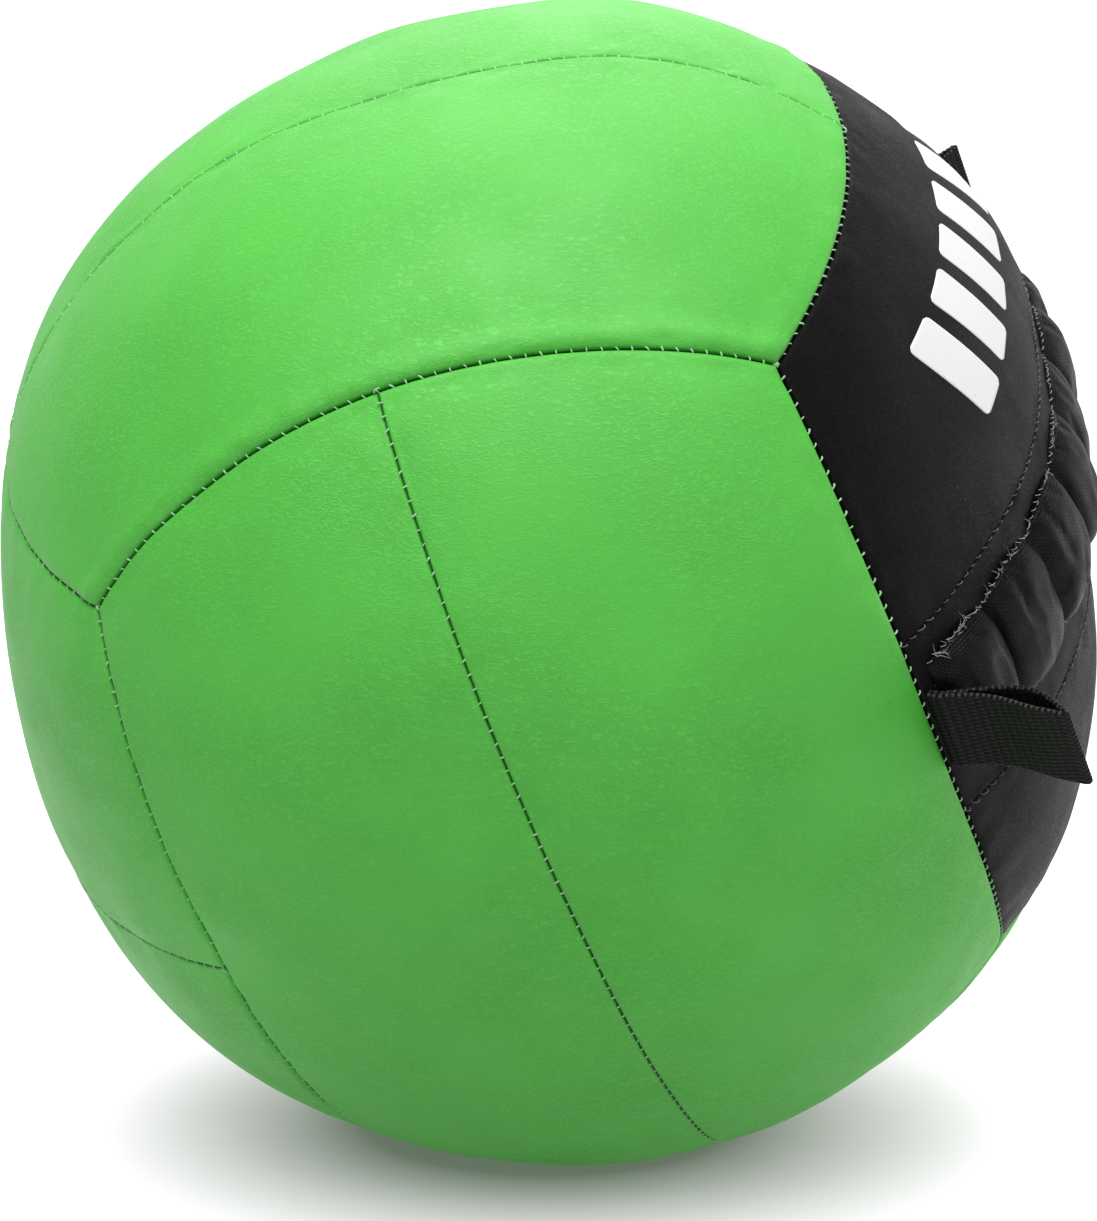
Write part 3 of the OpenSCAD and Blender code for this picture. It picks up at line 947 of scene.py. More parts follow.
def stitch_tree():
    """Thread stitches at an even pitch along curves, lying across them and facing off the ball"""
    tree, source, sink = geometry_tree("seam_stitches", {
        "Pitch": ("Float", 0.004), "Thread": ("Float", 0.0005), "Reach": ("Float", 0.002),
        "Arch": ("Float", 0.4), "Slant": ("Float", 0.3), "Centre": ("Vector", None),
        "Seed": ("Int", 1), "Material": ("Material", None)})
    w = Wiring(tree)
    evenly = w.add("GeometryNodeResampleCurve", mode="LENGTH")
    w.put(evenly.inputs["Curve"], source.outputs["Geometry"])
    w.put(evenly.inputs["Length"], source.outputs["Pitch"])
    # One stitch: a short arched line with a round section
    arc = w.add("GeometryNodeCurvePrimitiveBezierSegment")
    half = w.math("MULTIPLY", source.outputs["Reach"], 0.5)
    back = w.math("MULTIPLY", half, -1.0)
    drop = w.math("MULTIPLY", source.outputs["Reach"], -STITCH_DROP)
    high = w.math("MULTIPLY", source.outputs["Arch"], source.outputs["Reach"])
    for label, x, z in (("Start", back, drop), ("Start Handle", back, high),
                        ("End Handle", half, high), ("End", half, drop)):
        place = w.add("ShaderNodeCombineXYZ")
        w.put(place.inputs["X"], x)
        w.put(place.inputs["Z"], z)
        w.put(arc.inputs[label], place.outputs[0])
    arc.mode = "POSITION"
    arc.inputs["Resolution"].default_value = 6
    section = w.add("GeometryNodeCurvePrimitiveCircle")
    section.inputs["Resolution"].default_value = 6
    w.put(section.inputs["Radius"], w.math("MULTIPLY", source.outputs["Thread"], 0.5))
    tube = w.add("GeometryNodeCurveToMesh")
    w.put(tube.inputs["Curve"], arc.outputs["Curve"])
    w.put(tube.inputs["Profile Curve"], section.outputs["Curve"])
    tube.inputs["Fill Caps"].default_value = True
    # Stitches point off the ball and lie across the seam, each a little askew
    position = w.add("GeometryNodeInputPosition").outputs[0]
    outward = w.add("ShaderNodeVectorMath", operation="SUBTRACT")
    w.put(outward.inputs[0], position)
    w.put(outward.inputs[1], source.outputs["Centre"])
    tangent = w.add("GeometryNodeInputTangent").outputs[0]
    upright = w.add("FunctionNodeAlignRotationToVector", axis="Z", pivot_axis="AUTO")
    w.put(upright.inputs["Vector"], outward.outputs[0])
    crossed = w.add("FunctionNodeAlignRotationToVector", axis="Y", pivot_axis="Z")
    w.put(crossed.inputs["Rotation"], upright.outputs[0])
    w.put(crossed.inputs["Vector"], tangent)
    askew = w.add("FunctionNodeRandomValue", data_type="FLOAT")
    askew.inputs[2].default_value, askew.inputs[3].default_value = -ASKEW, ASKEW
    w.put(askew.inputs["Seed"], source.outputs["Seed"])
    turn = w.add("ShaderNodeCombineXYZ")
    w.put(turn.inputs["Z"], w.math("ADD", askew.outputs[1], source.outputs["Slant"]))
    angle = w.add("FunctionNodeEulerToRotation")
    w.put(angle.inputs[0], turn.outputs[0])
    turned = w.add("FunctionNodeRotateRotation", rotation_space="LOCAL")
    w.put(turned.inputs[0], crossed.outputs[0])
    w.put(turned.inputs[1], angle.outputs[0])
    size = w.add("FunctionNodeRandomValue", data_type="FLOAT")
    size.inputs[2].default_value, size.inputs[3].default_value = SIZE_RANGE
    w.put(size.inputs["Seed"], w.math("ADD", source.outputs["Seed"], 7.0))
    put = w.add("GeometryNodeInstanceOnPoints")
    w.put(put.inputs["Points"], evenly.outputs["Curve"])
    w.put(put.inputs["Instance"], tube.outputs["Mesh"])
    w.put(put.inputs["Rotation"], turned.outputs[0])
    w.put(put.inputs["Scale"], size.outputs[1])
    real = w.add("GeometryNodeRealizeInstances")
    w.put(real.inputs[0], put.outputs["Instances"])
    dressed = w.add("GeometryNodeSetMaterial")
    w.put(dressed.inputs["Geometry"], real.outputs[0])
    w.put(dressed.inputs["Material"], source.outputs["Material"])
    w.put(sink.inputs["Geometry"], dressed.outputs[0])
    return tree


def run_tree(obj, tree, values, name):
    """Gives a plain mesh of what a geometry tree makes of an object, which is then removed"""
    modifier = obj.modifiers.new(tree.name, "NODES")
    modifier.node_group = tree
    for item in tree.interface.items_tree:
        if item.item_type == "SOCKET" and item.in_out == "INPUT" and item.name in values:
            modifier[item.identifier] = values[item.name]
    bpy.context.view_layer.update()
    evaluated = obj.evaluated_get(bpy.context.evaluated_depsgraph_get())
    mesh = bpy.data.meshes.new_from_object(evaluated)
    bpy.data.objects.remove(obj)
    mesh.name = name
    mesh.polygons.foreach_set("use_smooth", [True] * len(mesh.polygons))
    return add_object(name, mesh)


class BALL_OT_stitches(Operator):
    """Sew every seam of the cover with thread that shows across the crease"""

    bl_idname = "ball.stitches"
    bl_label = "Seam stitches"

    def execute(self, context):
        look = settings("stitch")
        mint = made("mint_thread", lambda n: thread_material(n, tuple(look.mint)))
        dark = made("dark_thread", lambda n: thread_material(n, tuple(look.dark)))
        tree = stitch_tree()
        # Group: material, slot, depth of the stitches (mm), then their length and thickness
        # as parts of the set ones, and their slant (radians)
        groups = {
            "edge_seam_threads": (mint, "green_thread", 1.75, 0.72, 0.9, 0.45),
            "split_seam_threads": (mint, "green_thread", 0.92, 0.80, 0.85, 0.35),
            "strip_seam_threads": (dark, "black_thread", 0.12, 1.25, 0.45, 1.40),
            "closing_seam_thread": (mint, "green_thread", 0.90, 1.1, 0.9, 0.45),
        }
        for seed, (group, (material, slot, depth, longer, thicker, slant)) in enumerate(groups.items()):
            runs = [run[1:] for run in seam_runs() if run[0] == group]
            curve = seam_curve(group + "_line", runs, depth * MM)
            obj = run_tree(curve, tree, {
                "Pitch": look.pitch, "Thread": look.thread * thicker, "Reach": look.reach * longer,
                "Arch": STITCH_ARCH, "Slant": slant, "Centre": tuple(CENTRE), "Seed": seed,
                "Material": material}, group + "_sewn")
            finish_piece(obj, "ball", group, slot=slot)
        return {"FINISHED"}


# ---------------------------------------------------------------- grip pad

# In mm: step of the pad's net, cell of its weave, gap to the seam at each end, rounded shoulder
# of a rib and half a channel's floor
PAD_STEP = 0.9
WEAVE_CELL = 1.15
PAD_END_GAP = 5.0
RIB_SHOULDER = 7.0
CHANNEL_HALF = 1.5
# Parts of the pad's width drawn in at a channel, and of its height left there
PINCH = 0.16
CHANNEL_FLOOR = 0.06
PAD_CLOTH_T = 0.7 * MM
# Foam in a rib (mm): how far inside the cloth and the channels it lies, and its least thickness
RIB_INSET = 2.6
RIB_THINNEST = 0.4
# Cloth whose phase along a rib is this near to a channel's is sewn down
SEWN_PHASE = 0.11
PAD_CAP = 1.2 * MM
PAD_CLOTH_FRAMES = 20
PAD_CLOTH = {
    "quality": 6,
    "mass": 0.15,
    "tension_stiffness": 15,
    "compression_stiffness": 15,
    "shear_stiffness": 10,
    "bending_stiffness": 0.6,
    "use_pressure": True,
    "uniform_pressure_force": 4,
    "shrink_min": -0.01,
    "vertex_group_mass": "sewn",
}


def pad_direction(turn, height):
    """Directions at an angle round the ball's Z axis and a height above the strip's middle (metres)"""
    lift = height / CAD_RADIUS
    flat = np.sqrt(1 - lift ** 2)
    return np.stack([flat * np.cos(turn), flat * np.sin(turn), lift * np.ones_like(turn)], -1)


def channel_distance(along):
    """Distance along the pad to the nearest sewn channel, in mm"""
    pitch = settings("pad").pitch / MM
    return np.abs(along - pitch * np.round(along / pitch))


def pad_height(along, across):
    """Height of the pad over the strip; along in mm from its middle, across from -1 to 1"""
    pad = settings("pad")
    pitch = pad.pitch / MM
    from_channel = channel_distance(along)
    climb = np.clip((from_channel - CHANNEL_HALF) / RIB_SHOULDER, 0, 1)
    rib = np.sqrt(1 - (1 - climb) ** 2) * (0.9 + 0.1 * np.cos(math.pi * (from_channel * 2 / pitch - 1)))
    near_end = np.clip((pad_reach() - np.abs(along)) / (0.45 * pitch), 0, 1)
    taper = np.sqrt(1 - (1 - near_end) ** 2)
    crown = np.clip(1 - np.abs(across) ** 2.6, 0, 1) ** 0.6
    # Every rib leans a little and has its own height
    number = np.floor(along / pitch + 100)
    own = 1 + 0.10 * np.sin(number * 2.4) + 0.05 * np.sin(number * 5.1 + across * 2)
    return pad.rise * crown * taper * (CHANNEL_FLOOR + (1 - CHANNEL_FLOOR) * rib) * own


def pad_reach():
    """Half the pad's length over the ball, in mm"""
    return BOW_ANGLE * CAD_RADIUS / MM - PAD_END_GAP


def pad_surface(along, across, lift=0.0):
    """Points on the pad; along in mm, across from -1 to 1, lift in metres above its cloth"""
    pad = settings("pad")
    pitch = pad.pitch / MM
    cell = np.abs(np.sin(math.pi * along / pitch)) ** 0.5
    half = pad.width / 2 * (1 - PINCH * (1 - cell))
    height = pad.offset + half * across
    # The cloth wanders a little along the pad, most in its middle
    lean = 0.55 * np.sin(along * 0.9 + 1.0) * (1 - across ** 2)
    turn = (along + lean) * MM / CAD_RADIUS
    directions = pad_direction(turn, height)
    rise = pad_height(along, across)
    wrinkle = 0.25 * MM * ripples(directions, 0.05, 11) * (1 - np.abs(across) ** 3)
    relief, _ = piece_relief("middle", directions)
    return cover_point(directions, relief - rise - wrinkle * (rise > 0) - lift)


def simulate_pad(obj, pinned, cap):
    """Blows the pad's cloth up against its pinned edges and channels, by no more than the cap"""
    before = np.empty(len(obj.data.vertices) * 3)
    obj.data.vertices.foreach_get("co", before)
    before = before.reshape(-1, 3)
    group = obj.vertex_groups.new(name="sewn")
    for weight in (1.0, 0.5):
        group.add([int(i) for i in np.flatnonzero(np.isclose(pinned, weight))], weight, "REPLACE")
    cloth = obj.modifiers.new("cloth", "CLOTH")
    for key, value in PAD_CLOTH.items():
        setattr(cloth.settings, key, value)
    cloth.settings.effector_weights.gravity = 0
    cloth.collision_settings.use_collision = False
    cloth.point_cache.frame_start, cloth.point_cache.frame_end = 1, PAD_CLOTH_FRAMES
    scene = bpy.context.scene
    for step in range(1, PAD_CLOTH_FRAMES + 1):
        scene.frame_set(step)
    evaluated = obj.evaluated_get(bpy.context.evaluated_depsgraph_get())
    after = np.empty_like(before).ravel()
    evaluated.to_mesh().vertices.foreach_get("co", after)
    evaluated.to_mesh_clear()
    obj.modifiers.remove(cloth)
    scene.frame_set(1)
    move = after.reshape(-1, 3) - before
    size = np.linalg.norm(move, axis=1, keepdims=True)
    move *= np.minimum(1, cap / np.maximum(size, 1e-9))
    obj.data.vertices.foreach_set("co", (before + move).ravel())
    obj.data.update()


class BALL_OT_pad(Operator):
    """Build the ribbed grip pad: its woven cover, the foam in its ribs and its edge threads"""

    bl_idname = "ball.pad"
    bl_label = "Grip pad"

    def execute(self, context):
        pad = settings("pad")
        reach = pad_reach()
        rows, columns = round(2 * reach / PAD_STEP), round(pad.width / MM / PAD_STEP)
        along = np.linspace(-reach, reach, rows)[:, None] * np.ones((1, columns))
        # The columns draw together towards the pad's long edges
        across = np.sin(np.linspace(-math.pi / 2, math.pi / 2, columns))[None, :] * np.ones((rows, 1))
        across = 0.55 * across + 0.45 * np.linspace(-1, 1, columns)[None, :]
        points = pad_surface(along, across)
        skin = mesh_object("grip_pad_skin", points.reshape(-1, 3), outward_grid(points, CENTRE),
                           made("woven_vinyl", woven_material))
        uv = np.stack([along / WEAVE_CELL, across * pad.width / MM / 2 / WEAVE_CELL], -1)
        store_weave(skin, uv.reshape(-1, 2))
        # Distance to a channel or long edge, for the painted shade of the pad's finish
        from_fold = np.minimum(channel_distance(along), 30 * (1 - np.abs(across)))
        store_attribute(skin, "seam", from_fold)
        channel = np.abs(np.sin(math.pi * along / (pad.pitch / MM))) < SEWN_PHASE
        rim = np.zeros_like(channel)
        rim[[0, -1], :], rim[:, [0, -1]] = True, True
        simulate_pad(skin, np.where(rim | channel, 1.0, 0.0).ravel(), PAD_CAP)
        add_solidify(skin, PAD_CLOTH_T)
        finish_piece(skin, "ball", "grip_pad_cover", slot="woven_vinyl")
        self.foam(reach)
        self.edge_threads(reach)
        return {"FINISHED"}

    def foam(self, reach):
        """One foam rib in each cell"""
        pad = settings("pad")
        pitch = pad.pitch / MM
        edges = [-reach, *[k * pitch for k in range(-pad.ribs // 2, pad.ribs // 2 + 1)], reach]
        parts = []
        for low, high in zip(edges, edges[1:]):
            along = np.linspace(low + RIB_INSET, high - RIB_INSET, 14)[:, None] * np.ones((1, 12))
            across = np.linspace(-0.86, 0.86, 12)[None, :] * np.ones((14, 1))
            top = pad_surface(along, across, -RIB_INSET * MM)
            directions = pad_direction(along * MM / CAD_RADIUS, pad.offset + pad.width / 2 * across)
            bottom = cover_point(directions, piece_relief("middle", directions)[0] - 0.2 * MM)
            thinnest = RIB_THINNEST * MM
            level = np.linalg.norm(bottom - CENTRE, axis=-1) + thinnest
            lower = np.linalg.norm(top - CENTRE, axis=-1) < level
            top[lower] = bottom[lower] + thinnest * (bottom[lower] - CENTRE) / CAD_RADIUS
            parts.append(closed_slab("foam_rib", top, bottom, backing_foam()))
        obj = join(parts, "grip_pad_ribs")
        finish_piece(obj, "ball", "grip_pad_foam", slot="backing_foam")

    def edge_threads(self, reach):
        """White thread along both long edges, with frayed ends on the upper one"""
        look = settings("stitch")
        white = made("white_thread", lambda n: thread_material(n, tuple(look.white)))
        along = np.linspace(-reach + 2, reach - 2, 200)
        line = line_object("pad_edge_line", [
            pad_surface(along, np.full_like(along, side * 0.985), 0.25 * MM)
            for side in (-1.0, 1.0)])
        tree = bpy.data.node_groups["seam_stitches"]
        sewn = run_tree(line, tree, {
            "Pitch": 0.0031, "Thread": look.thread * 0.5, "Reach": 0.0026, "Arch": 0.12,
            "Slant": math.pi / 2 - 0.25, "Centre": tuple(CENTRE), "Seed": 21,
            "Material": white}, "pad_edge_sewn")
        frayed = self.frayed(reach, white)
        obj = join([sewn, frayed], "grip_pad_edge")
        finish_piece(obj, "ball", "grip_pad_threads", slot="white_thread")

    def frayed(self, reach, material):
        """Short loose ends of thread at the pad's upper edge, most of them near the front loop"""
        draw = np.random.default_rng(5)
        points, faces = [], []
        for _ in range(70):
            along = -reach + 4 + (draw.random() ** 1.6) * reach * 0.75
            across = 0.97 + 0.02 * draw.random()
            start = pad_surface(np.array([along]), np.array([across]), 0.3 * MM)[0]
            out = unit(start - CENTRE)
            way = unit(draw.normal(size=3) + 0.8 * Z_AXIS + 0.8 * out)
            curl = unit(np.cross(way, out)) * draw.uniform(-1, 1)
            size = draw.uniform(1.2, 4.2) * MM
            side = unit(np.cross(way, out + 0.01))
            up = np.cross(side, way)
            rings = 6
            first = len(points)
            for k in range(rings):
                # Along its length a thread curls to a side, sinks back and thins
                t = k / (rings - 1)
                middle = start + way * size * t + curl * size * 0.5 * t * t - out * size * 0.25 * t * t
                thick = 0.13 * MM * (1 - 0.6 * t)
                points += [middle + thick * (math.cos(a) * side + math.sin(a) * up)
                           for a in (0, 2 * math.pi / 3, 4 * math.pi / 3)]
            faces += grid_faces(rings, 3, first, wrap=True)
            faces += [[first + 2, first + 1, first], [first + 3 * rings - 3 + k for k in range(3)]]
        return mesh_object("pad_fray", points, faces, material)


def join(objects, name):
    """Joins meshes at the origin into the first, which takes the name"""
    bpy.ops.object.select_all(action="DESELECT")
    for obj in objects:
        obj.select_set(True)
    bpy.context.view_layer.objects.active = objects[0]
    bpy.ops.object.join()
    objects[0].name = name
    objects[0].data.name = name
    return objects[0]


# ---------------------------------------------------------------- webbing loops

WEBBING_STEP = 0.42 * MM
WEBBING_COLUMNS = 49

def webbing_path(reach, opening, ply, sway, hug, samples):
    """Middle line of the folded webbing: out on one ply, round the tip and back on the other"""
    tip = ply / 2
    out = np.linspace(-3.5 * MM, reach - ply, samples)
    t = np.clip(out / (reach - ply), 0, 1)
    gap = opening / 2 * np.sin(math.pi * t ** 1.7) ** 1.3
    bend = sway * np.sin(math.pi * t ** 1.15) * (1 - 0.35 * t) + hug * (1 - t) ** 3
    first = np.stack([out, -tip - gap + bend], -1)
    fold = np.linspace(-math.pi / 2, math.pi / 2, 9)[1:-1]
    corner = np.stack([reach - ply + tip * 1.3 * np.cos(fold), bend[-1] + tip * np.sin(fold)], -1)
    second = np.stack([out[::-1], (tip + gap + bend)[::-1]], -1)
    return np.concatenate([first, corner, second])


def webbing_solid(name, path, place, material):
    """Ribbed webbing along a path in its own plane; place puts (x, y, across) into the world"""
    form = settings("webbing")
    steps = np.linalg.norm(np.diff(path, axis=0), axis=1)
    run = np.concatenate([[0], np.cumsum(steps)])
    count = round(run[-1] / WEBBING_STEP)
    even = np.linspace(0, run[-1], count)
    line = np.stack([np.interp(even, run, path[:, k]) for k in range(2)], -1)
    heading = np.gradient(line, axis=0)
    heading /= np.linalg.norm(heading, axis=1, keepdims=True)
    side = np.stack([-heading[:, 1], heading[:, 0]], -1)
    across = np.linspace(-1, 1, WEBBING_COLUMNS)
    width = form.width / 2
    rib = 2 * math.pi * even[:, None] / form.rib
    # Ribs run across the webbing; each is a row of short floats, offset from the next
    number = np.floor(even[:, None] / form.rib)
    floats = np.cos(2 * math.pi * across[None, :] * width / form.float_t + math.pi * (number % 2))
    relief = (0.13 - 0.08 * floats) * np.abs(np.sin(rib / 2)) * MM
    bead = 0.16 * MM * np.exp(-((1 - np.abs(across)) * width / (0.7 * MM)) ** 2)
    bead = bead[None, :] * (0.6 + 0.4 * np.cos(rib))
    # The two edges are rounded, by half of what the ribs leave of the ply
    half = form.ply / 2 - 0.12 * MM
    past = np.clip((np.abs(across) * width - width + half) / half, 0, 1)
    rounding = np.sqrt(np.clip(1 - past ** 2, 0, 1))
    thick = (half + relief + bead) * np.maximum(rounding[None, :], 0.12)

    def shell(sign):
        plane = line[:, None, :] + sign * side[:, None, :] * thick[..., None]
        edge = np.abs(across)[None, :] > 0.98
        wobble = 0.18 * MM * np.sin(2 * math.pi * even[:, None] / (1.8 * MM)) * edge
        z = across[None, :] * width + np.sign(across)[None, :] * wobble
        return np.concatenate([plane, np.broadcast_to(z, plane.shape[:2])[..., None]], -1)

    top, bottom = shell(1), shell(-1)
    ring = np.concatenate([top, bottom[:, ::-1]], axis=1)
    points = place(ring.reshape(-1, 3))
    around = ring.shape[1]
    faces = grid_faces(count, around, wrap=True)
    faces.append(list(range(around)))
    faces.append(list(range((count - 1) * around, count * around))[::-1])
    obj = mesh_object(name, points, faces, material)
    u = np.repeat(even / MM, around)
    v = np.tile(np.concatenate([across, across[::-1]]) * width / MM, count)
    store_weave(obj, np.stack([u, v], -1))
    recalculate_normals(obj)
    return obj


def recalculate_normals(obj):
    """Turns every face of a closed mesh outward"""
    work = bmesh.new()
    work.from_mesh(obj.data)
    bmesh.ops.recalc_face_normals(work, faces=work.faces)
    work.to_mesh(obj.data)
    work.free()


class BALL_OT_loops(Operator):
    """Build the two folded webbing loops and their tails in the seams"""

    bl_idname = "ball.loops"
    bl_label = "Webbing loops"

    def execute(self, context):
        form = settings("webbing")
        webbing = made("ribbed_webbing", webbing_material)
        # Loop: its end of the pad, hinge, length (m), lean off the seam's own direction (degrees),
        # and how far its middle sways and its root hugs the ball (mm)
        ends = {
            "front": (-1, FRONT_HINGE, form.front_length, 10.0, 4.6, -1.3),
            "rear": (1, REAR_HINGE, form.rear_length, 24.0, -3.0, 1.3),
        }
        for name, (end, root, reach, lean, sway, hug) in ends.items():
            # X runs out along the loop, Y towards the pad at the front and away from it at the rear
            turn = end * (BOW_ANGLE - math.radians(lean))
            out = math.cos(turn) * X_AXIS + math.sin(turn) * Y_AXIS
            over = np.cross(Z_AXIS, out)

            def place(points, out=out, over=over, root=root):
                return root + points[:, :1] * out + points[:, 1:2] * over + points[:, 2:] * Z_AXIS

            path = webbing_path(reach, form.opening, form.ply, sway * MM, hug * MM, 60)
            loop = webbing_solid(name + "_loop_webbing", path, place, webbing)
            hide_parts(name + "_loop")
            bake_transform(loop)
            self.tail(name, end, webbing)
        return {"FINISHED"}

    def tail(self, name, end, webbing):
        """The two plies below the loop, sewn down in the seam"""
        form = settings("webbing")
        down = math.sin(END_TILT) * X_AXIS + end * math.cos(END_TILT) * Y_AXIS
        over = np.cross(Z_AXIS, down)
        low, high = (np.array(c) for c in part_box(name + "_loop_tail"))
        middle = (low + high) / 2
        half_ply = form.ply / 2

        def place(points):
            return middle + points[:, :1] * down + points[:, 1:2] * over + points[:, 2:] * Z_AXIS

        line = np.linspace(-3.6 * MM, 2.4 * MM, 12)
        plies = [webbing_solid("ply", np.stack([line, np.full_like(line, s * half_ply)], -1), place,
                               webbing)
                 for s in (-1, 1)]
        finish_piece(join(plies, name + "_tail_webbing"), "ball", name + "_loop_tail", slot="webbing")


# ---------------------------------------------------------------- print

BAR_CORNER = 2.2 * MM
# Height of the ink above the cover, and how far its slab reaches below it
INK_TOP, INK_BOTTOM = 0.10 * MM, 0.15 * MM

class BALL_OT_print(Operator):
    """Print a row of plain slanted bars on the upper strip"""

    bl_idname = "ball.bars"
    bl_label = "Printed bars"

    def execute(self, context):
        form = settings("print")
        ink = made("white_ink", ink_material)
        parts = []
        for number in range(form.bars):
            middle = (number - (form.bars - 1) / 2) * form.step
            u, v = np.meshgrid(np.linspace(-0.5, 0.5, 24), np.linspace(0, 1, 44), indexing="ij")
            # Rounded corners: the bar's ends draw in over the last bit of its height
            from_end = np.minimum(v, 1 - v) * form.height
            wide = form.width - 2 * rolled_edge(from_end, BAR_CORNER)
            height = form.base + v * form.height
            flat = np.sqrt(CAD_RADIUS ** 2 - height ** 2)
            turn = middle + (u * wide - form.slant * v) / flat
            directions = pad_direction(turn, height)
            relief, _ = piece_relief("upper", directions)
            parts.append(closed_slab("bar", cover_point(directions, relief - INK_TOP),
                                     cover_point(directions, relief + INK_BOTTOM), ink))
        finish_piece(join(parts, "printed_bars_ink"), "ball", "printed_bars", slot="white_ink")
        return {"FINISHED"}


# ---------------------------------------------------------------- inside

# In mm: backing foam's distance from the seams, and the depths of the layers below the cover
BACKING_INSET = 3.4
BACKING_TOP, BACKING_BOTTOM = 2.3, 9.0
LINING_OUTER, LINING_INNER = 9.8, 10.6
FILLING_DEPTH = 11.2
DOME_RINGS, DOME_SPOKES = 48, 96
# Angles that a dome stays short of its pole and of its rim
POLE_GAP, RIM_GAP = 0.02, 0.004

class BALL_OT_inside(Operator):
    """Build the foam behind the panels, the lining and the filling, and finish the ballast bag"""

    bl_idname = "ball.inside"
    bl_label = "Inside"

    def execute(self, context):
        for name in PIECES:
            long, wide = piece_span(name)
            along = np.linspace(BACKING_INSET / long, 1 - BACKING_INSET / long, 40)
            across = np.linspace(BACKING_INSET / wide, 1 - BACKING_INSET / wide, 30)
            directions = piece_directions(name, along, across)
            relief, _ = piece_relief(name, directions)
            top = cover_point(directions, relief + BACKING_TOP * MM)
            bottom = cover_point(directions, np.full_like(relief, BACKING_BOTTOM * MM))
            obj = closed_slab(name + "_foam", top, bottom, backing_foam())
            node = name + ("_strip_backing" if name in STRIPS else "_backing")
            finish_piece(obj, "ball", node, slot="backing_foam")
        cloth = made("lining_cloth", lambda n: cloth_material(n, (0.58, 0.58, 0.56)))
        fibre = made("fibre_fill", lambda n: soft_material(n, (0.50, 0.49, 0.46), 260.0, 0.002))
        for half, side in (("upper", 1), ("lower", -1)):
            lining = bowl(half + "_lining_cloth", side, cloth)
            finish_piece(lining, "ball", half + "_lining", slot="lining_cloth")
            fill = filling(half + "_filling", side, fibre)
            finish_piece(fill, "ball", half + "_fill", slot="fibre_fill")
        dress("ballast_bag", made("bag_cloth", lambda n: cloth_material(n, (0.39, 0.30, 0.17), 1.2)))
        dress("ballast_granules", made("granules", lambda n: soft_material(
            n, (0.02, 0.02, 0.02), 420.0, 0.002, 0.4)))
        dress("ballast_tie", made("cord", lambda n: thread_material(n, (0.70, 0.66, 0.57))))
        return {"FINISHED"}


def dress(node, material):
    """Gives a node that is seen as it is a finish"""
    obj = frame["nodes"][node]
    for slot in obj.material_slots:
        slot.material = material


def ring_directions(lean, side):
    """Directions in rings round the ball's Z axis, each ring at one angle from its pole"""
    turn = np.linspace(0, 2 * math.pi, DOME_SPOKES, endpoint=False)[None, :]
    return np.stack([np.sin(lean) * np.cos(turn), np.sin(lean) * np.sin(turn),
                     side * np.cos(lean) * np.ones_like(turn)], -1)


def dome(side, depth):
    """Points over half of the ball, from its pole to just short of its middle, at a depth (mm)"""
    lean = np.linspace(POLE_GAP, math.pi / 2 - RIM_GAP, DOME_RINGS)[:, None]
    directions = ring_directions(lean, side)
    return cover_point(directions, np.full(directions.shape[:-1], depth * MM))


def lathe(name, rings, material):
    """A closed solid of rings of points, its first and last ring capped"""
    rings = np.asarray(rings)
    count, spokes = rings.shape[:2]
    faces = grid_faces(count, spokes, wrap=True)
    faces.append(list(range(spokes)))
    faces.append(list(range((count - 1) * spokes, count * spokes)))
    obj = mesh_object(name, rings.reshape(-1, 3), faces, material)
    recalculate_normals(obj)
    return obj


def bowl(name, side, material):
    """Half of the lining: an outer and an inner dome, joined at the rim"""
    out, back = dome(side, LINING_OUTER), dome(side, LINING_INNER)
    return lathe(name, np.concatenate([out, back[::-1]]), material)


def filling(name, side, material):
    """Half of the filling, with the hollow that holds the ballast bag and its neck"""
    outer = dome(side, FILLING_DEPTH)
    low, high = (np.array(c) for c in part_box("ballast_granules"))
    bag = (high[2] - low[2]) / 2 + 2.0 * MM
    neck_r, neck_top = 16.5 * MM, bag + 24 * MM
    lean = np.linspace(math.pi / 2 - RIM_GAP, POLE_GAP, 40)[:, None]
    reach = np.full_like(lean, bag)
    if side > 0:
        neck = np.minimum(neck_top / np.cos(lean), neck_r / np.sin(lean))
        reach = np.maximum(reach, neck)
    hollow = ring_directions(lean, side) * reach[..., None]
    return lathe(name, np.concatenate([outer, to_world(hollow)]), material)


# ---------------------------------------------------------------- stage

# How far the camera looks below the ball's middle, as a part of its distance
CAMERA_DROP = 0.00866
# The floor's painted light, a glow that is dim near the ball's foot as a painted shadow: distance from
# the ball's foot (m) and strength, where it starts and ends
GLOW_NEAR, GLOW_FAR = (0.06, 0.10), (0.165, 1.0)


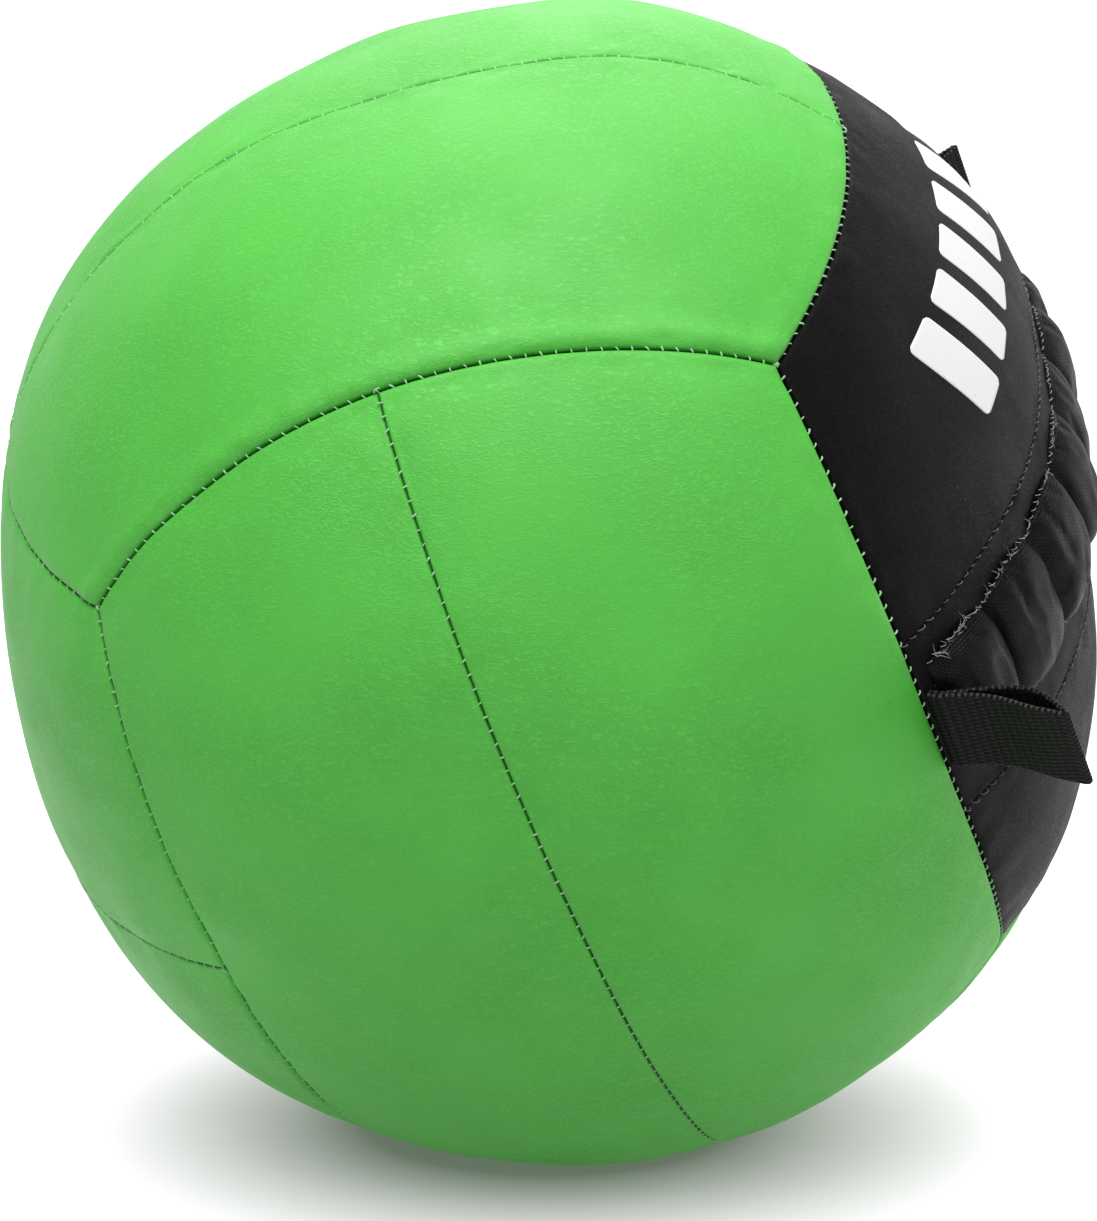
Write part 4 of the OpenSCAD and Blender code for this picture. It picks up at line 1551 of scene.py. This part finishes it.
class BALL_OT_stage(Operator):
    """Set the pale floor, the soft lights and the camera"""

    bl_idname = "ball.stage"
    bl_label = "Stage"

    def execute(self, context):
        form = settings("stage")
        scene = context.scene
        scene.view_settings.view_transform = "Standard"
        world = bpy.data.worlds.new("studio")
        scene.world = world
        world.use_nodes = True
        background = world.node_tree.nodes["Background"]
        background.inputs["Color"].default_value = (1, 1, 1, 1)
        background.inputs["Strength"].default_value = 0.40
        self.floor()
        self.surround()
        self.lights()
        camera = bpy.data.cameras.new("camera")
        camera.lens = form.lens
        camera.sensor_width = 36
        camera.clip_start = 0.05
        obj = add_object("camera", camera)
        e = form.elevation
        up = np.array([0, math.sin(e), math.cos(e)])
        back = np.array([0, -math.cos(e), math.sin(e)])
        # The ball sits a little above the picture's middle
        obj.location = CENTRE + back * form.distance - up * CAMERA_DROP * form.distance
        obj.rotation_euler = (math.pi / 2 - e, 0, 0)
        scene.camera = obj
        return {"FINISHED"}

    def floor(self):
        """A floor that sweeps up into a backdrop"""
        material, w, shader = new_material("studio_paper")
        place = w.place()
        speck = w.noise(place, 30.0, detail=3)
        # Painted light: the paper glows more, the further it is from the ball, so that the backdrop
        # stays white and the dim glow near the ball paints its shadow
        away = w.add("ShaderNodeVectorMath", operation="LENGTH")
        w.put(away.inputs[0], place)
        (near, dim), (far, bright) = GLOW_NEAR, GLOW_FAR
        glow = w.remap(away.outputs["Value"], near, far, dim, bright)
        w.put(shader.inputs["Emission Strength"], glow)
        # Painted light: the paper is tinted a little magenta against the ball's green bounce light, so
        # that its shadow stays grey
        paper = w.mix(speck, (0.335, 0.305, 0.335, 1), (0.35, 0.32, 0.35, 1))
        w.put(shader.inputs["Base Color"], paper)
        shader.inputs["Emission Color"].default_value = (1, 1, 1, 1)
        shader.inputs["Roughness"].default_value = 0.9
        sweep = np.linspace(0.1, math.pi / 2, 12)
        depth = np.concatenate([[-6.0], np.linspace(-4, 4, 9), 4 + 2 * np.sin(sweep), [6]])
        height = np.concatenate([np.zeros(10), 2 * (1 - np.cos(sweep)), [7]])
        wide = np.linspace(-9, 9, 7)
        points = [(x, y, z - 0.0002) for y, z in zip(depth, height) for x in wide]
        faces = [f[::-1] for f in grid_faces(len(depth), len(wide))]
        floor = mesh_object("floor", points, faces, material)
        floor.visible_diffuse = False

    def surround(self):
        """White walls on the three sides that the backdrop leaves open, seen only directly"""
        material, _, shader = new_material("studio_wall")
        shader.inputs["Base Color"].default_value = (0, 0, 0, 1)
        shader.inputs["Emission Color"].default_value = (1, 1, 1, 1)
        shader.inputs["Emission Strength"].default_value = 1.0
        corners = ((-8.9, 5.9), (-8.9, -5.9), (8.9, -5.9), (8.9, 5.9))
        points = [(x, y, z) for z in (-0.1, 7.0) for x, y in corners]
        wall = mesh_object("surround", points, grid_faces(2, len(corners)), material, smooth=False)
        wall.visible_diffuse = wall.visible_glossy = wall.visible_shadow = False

    def lights(self):
        """Three soft disks of light, each turned to its aim"""
        # Name: place and aim (m), size across (m), power (W) and colour
        soft = {
            "overhead": ((-0.08, -0.76, 1.72), (-0.02, 0.0, 0.2), 1.7, 30, (1, 1, 1)),
            "back_top": ((0.05, 0.85, 1.45), (0.0, 0.0, 0.3), 1.1, 7, (1, 1, 1)),
            "right_rim": ((1.0, 0.25, 0.30), (0.12, 0, 0.18), 0.35, 1.8, (1.0, 0.90, 0.84)),
        }
        for name, (place, aim, size, power, tint) in soft.items():
            lamp = bpy.data.lights.new(name, "AREA")
            lamp.shape = "DISK"
            lamp.size, lamp.energy, lamp.color = size, power, tint
            obj = add_object(name, lamp)
            obj.location = place
            way = np.array(aim) - np.array(place)
            flat = math.hypot(way[0], way[1])
            obj.rotation_euler = (math.atan2(flat, -way[2]), 0, math.atan2(-way[0], way[1]))


# ---------------------------------------------------------------- panel and registration


class BALL_PT_sidebar(Panel):
    """The ball's operators and sizes"""

    bl_idname = "BALL_PT_sidebar"
    bl_label = "Medicine ball"
    bl_space_type = "VIEW_3D"
    bl_region_type = "UI"
    bl_category = "Ball"

    def draw(self, context):
        for operator in OPERATORS:
            self.layout.operator(operator.bl_idname)
        for name in GROUPS:
            box = self.layout.box()
            group = settings(name)
            for key in group.bl_rna.properties.keys():
                if key not in ("rna_type", "name"):
                    box.prop(group, key)


GROUPS = {
    "form": BallForm,
    "vinyl": VinylLook,
    "stitch": StitchLook,
    "pad": PadForm,
    "webbing": WebbingForm,
    "print": PrintForm,
    "stage": StageForm,
}
OPERATORS = (BALL_OT_stage, BALL_OT_cover, BALL_OT_stitches, BALL_OT_pad, BALL_OT_loops,
             BALL_OT_print, BALL_OT_inside)


def register():
    for cls in (*GROUPS.values(), *OPERATORS, BALL_PT_sidebar):
        bpy.utils.register_class(cls)
    for name, cls in GROUPS.items():
        setattr(bpy.types.Scene, "ball_" + name, PointerProperty(type=cls))


def unregister():
    for name in GROUPS:
        delattr(bpy.types.Scene, "ball_" + name)
    for cls in (BALL_PT_sidebar, *reversed(OPERATORS), *reversed(GROUPS.values())):
        bpy.utils.unregister_class(cls)


def main():
    register()
    for operator in OPERATORS:
        group, call = operator.bl_idname.split(".")
        getattr(getattr(bpy.ops, group), call)()


if __name__ == "__main__":
    main()
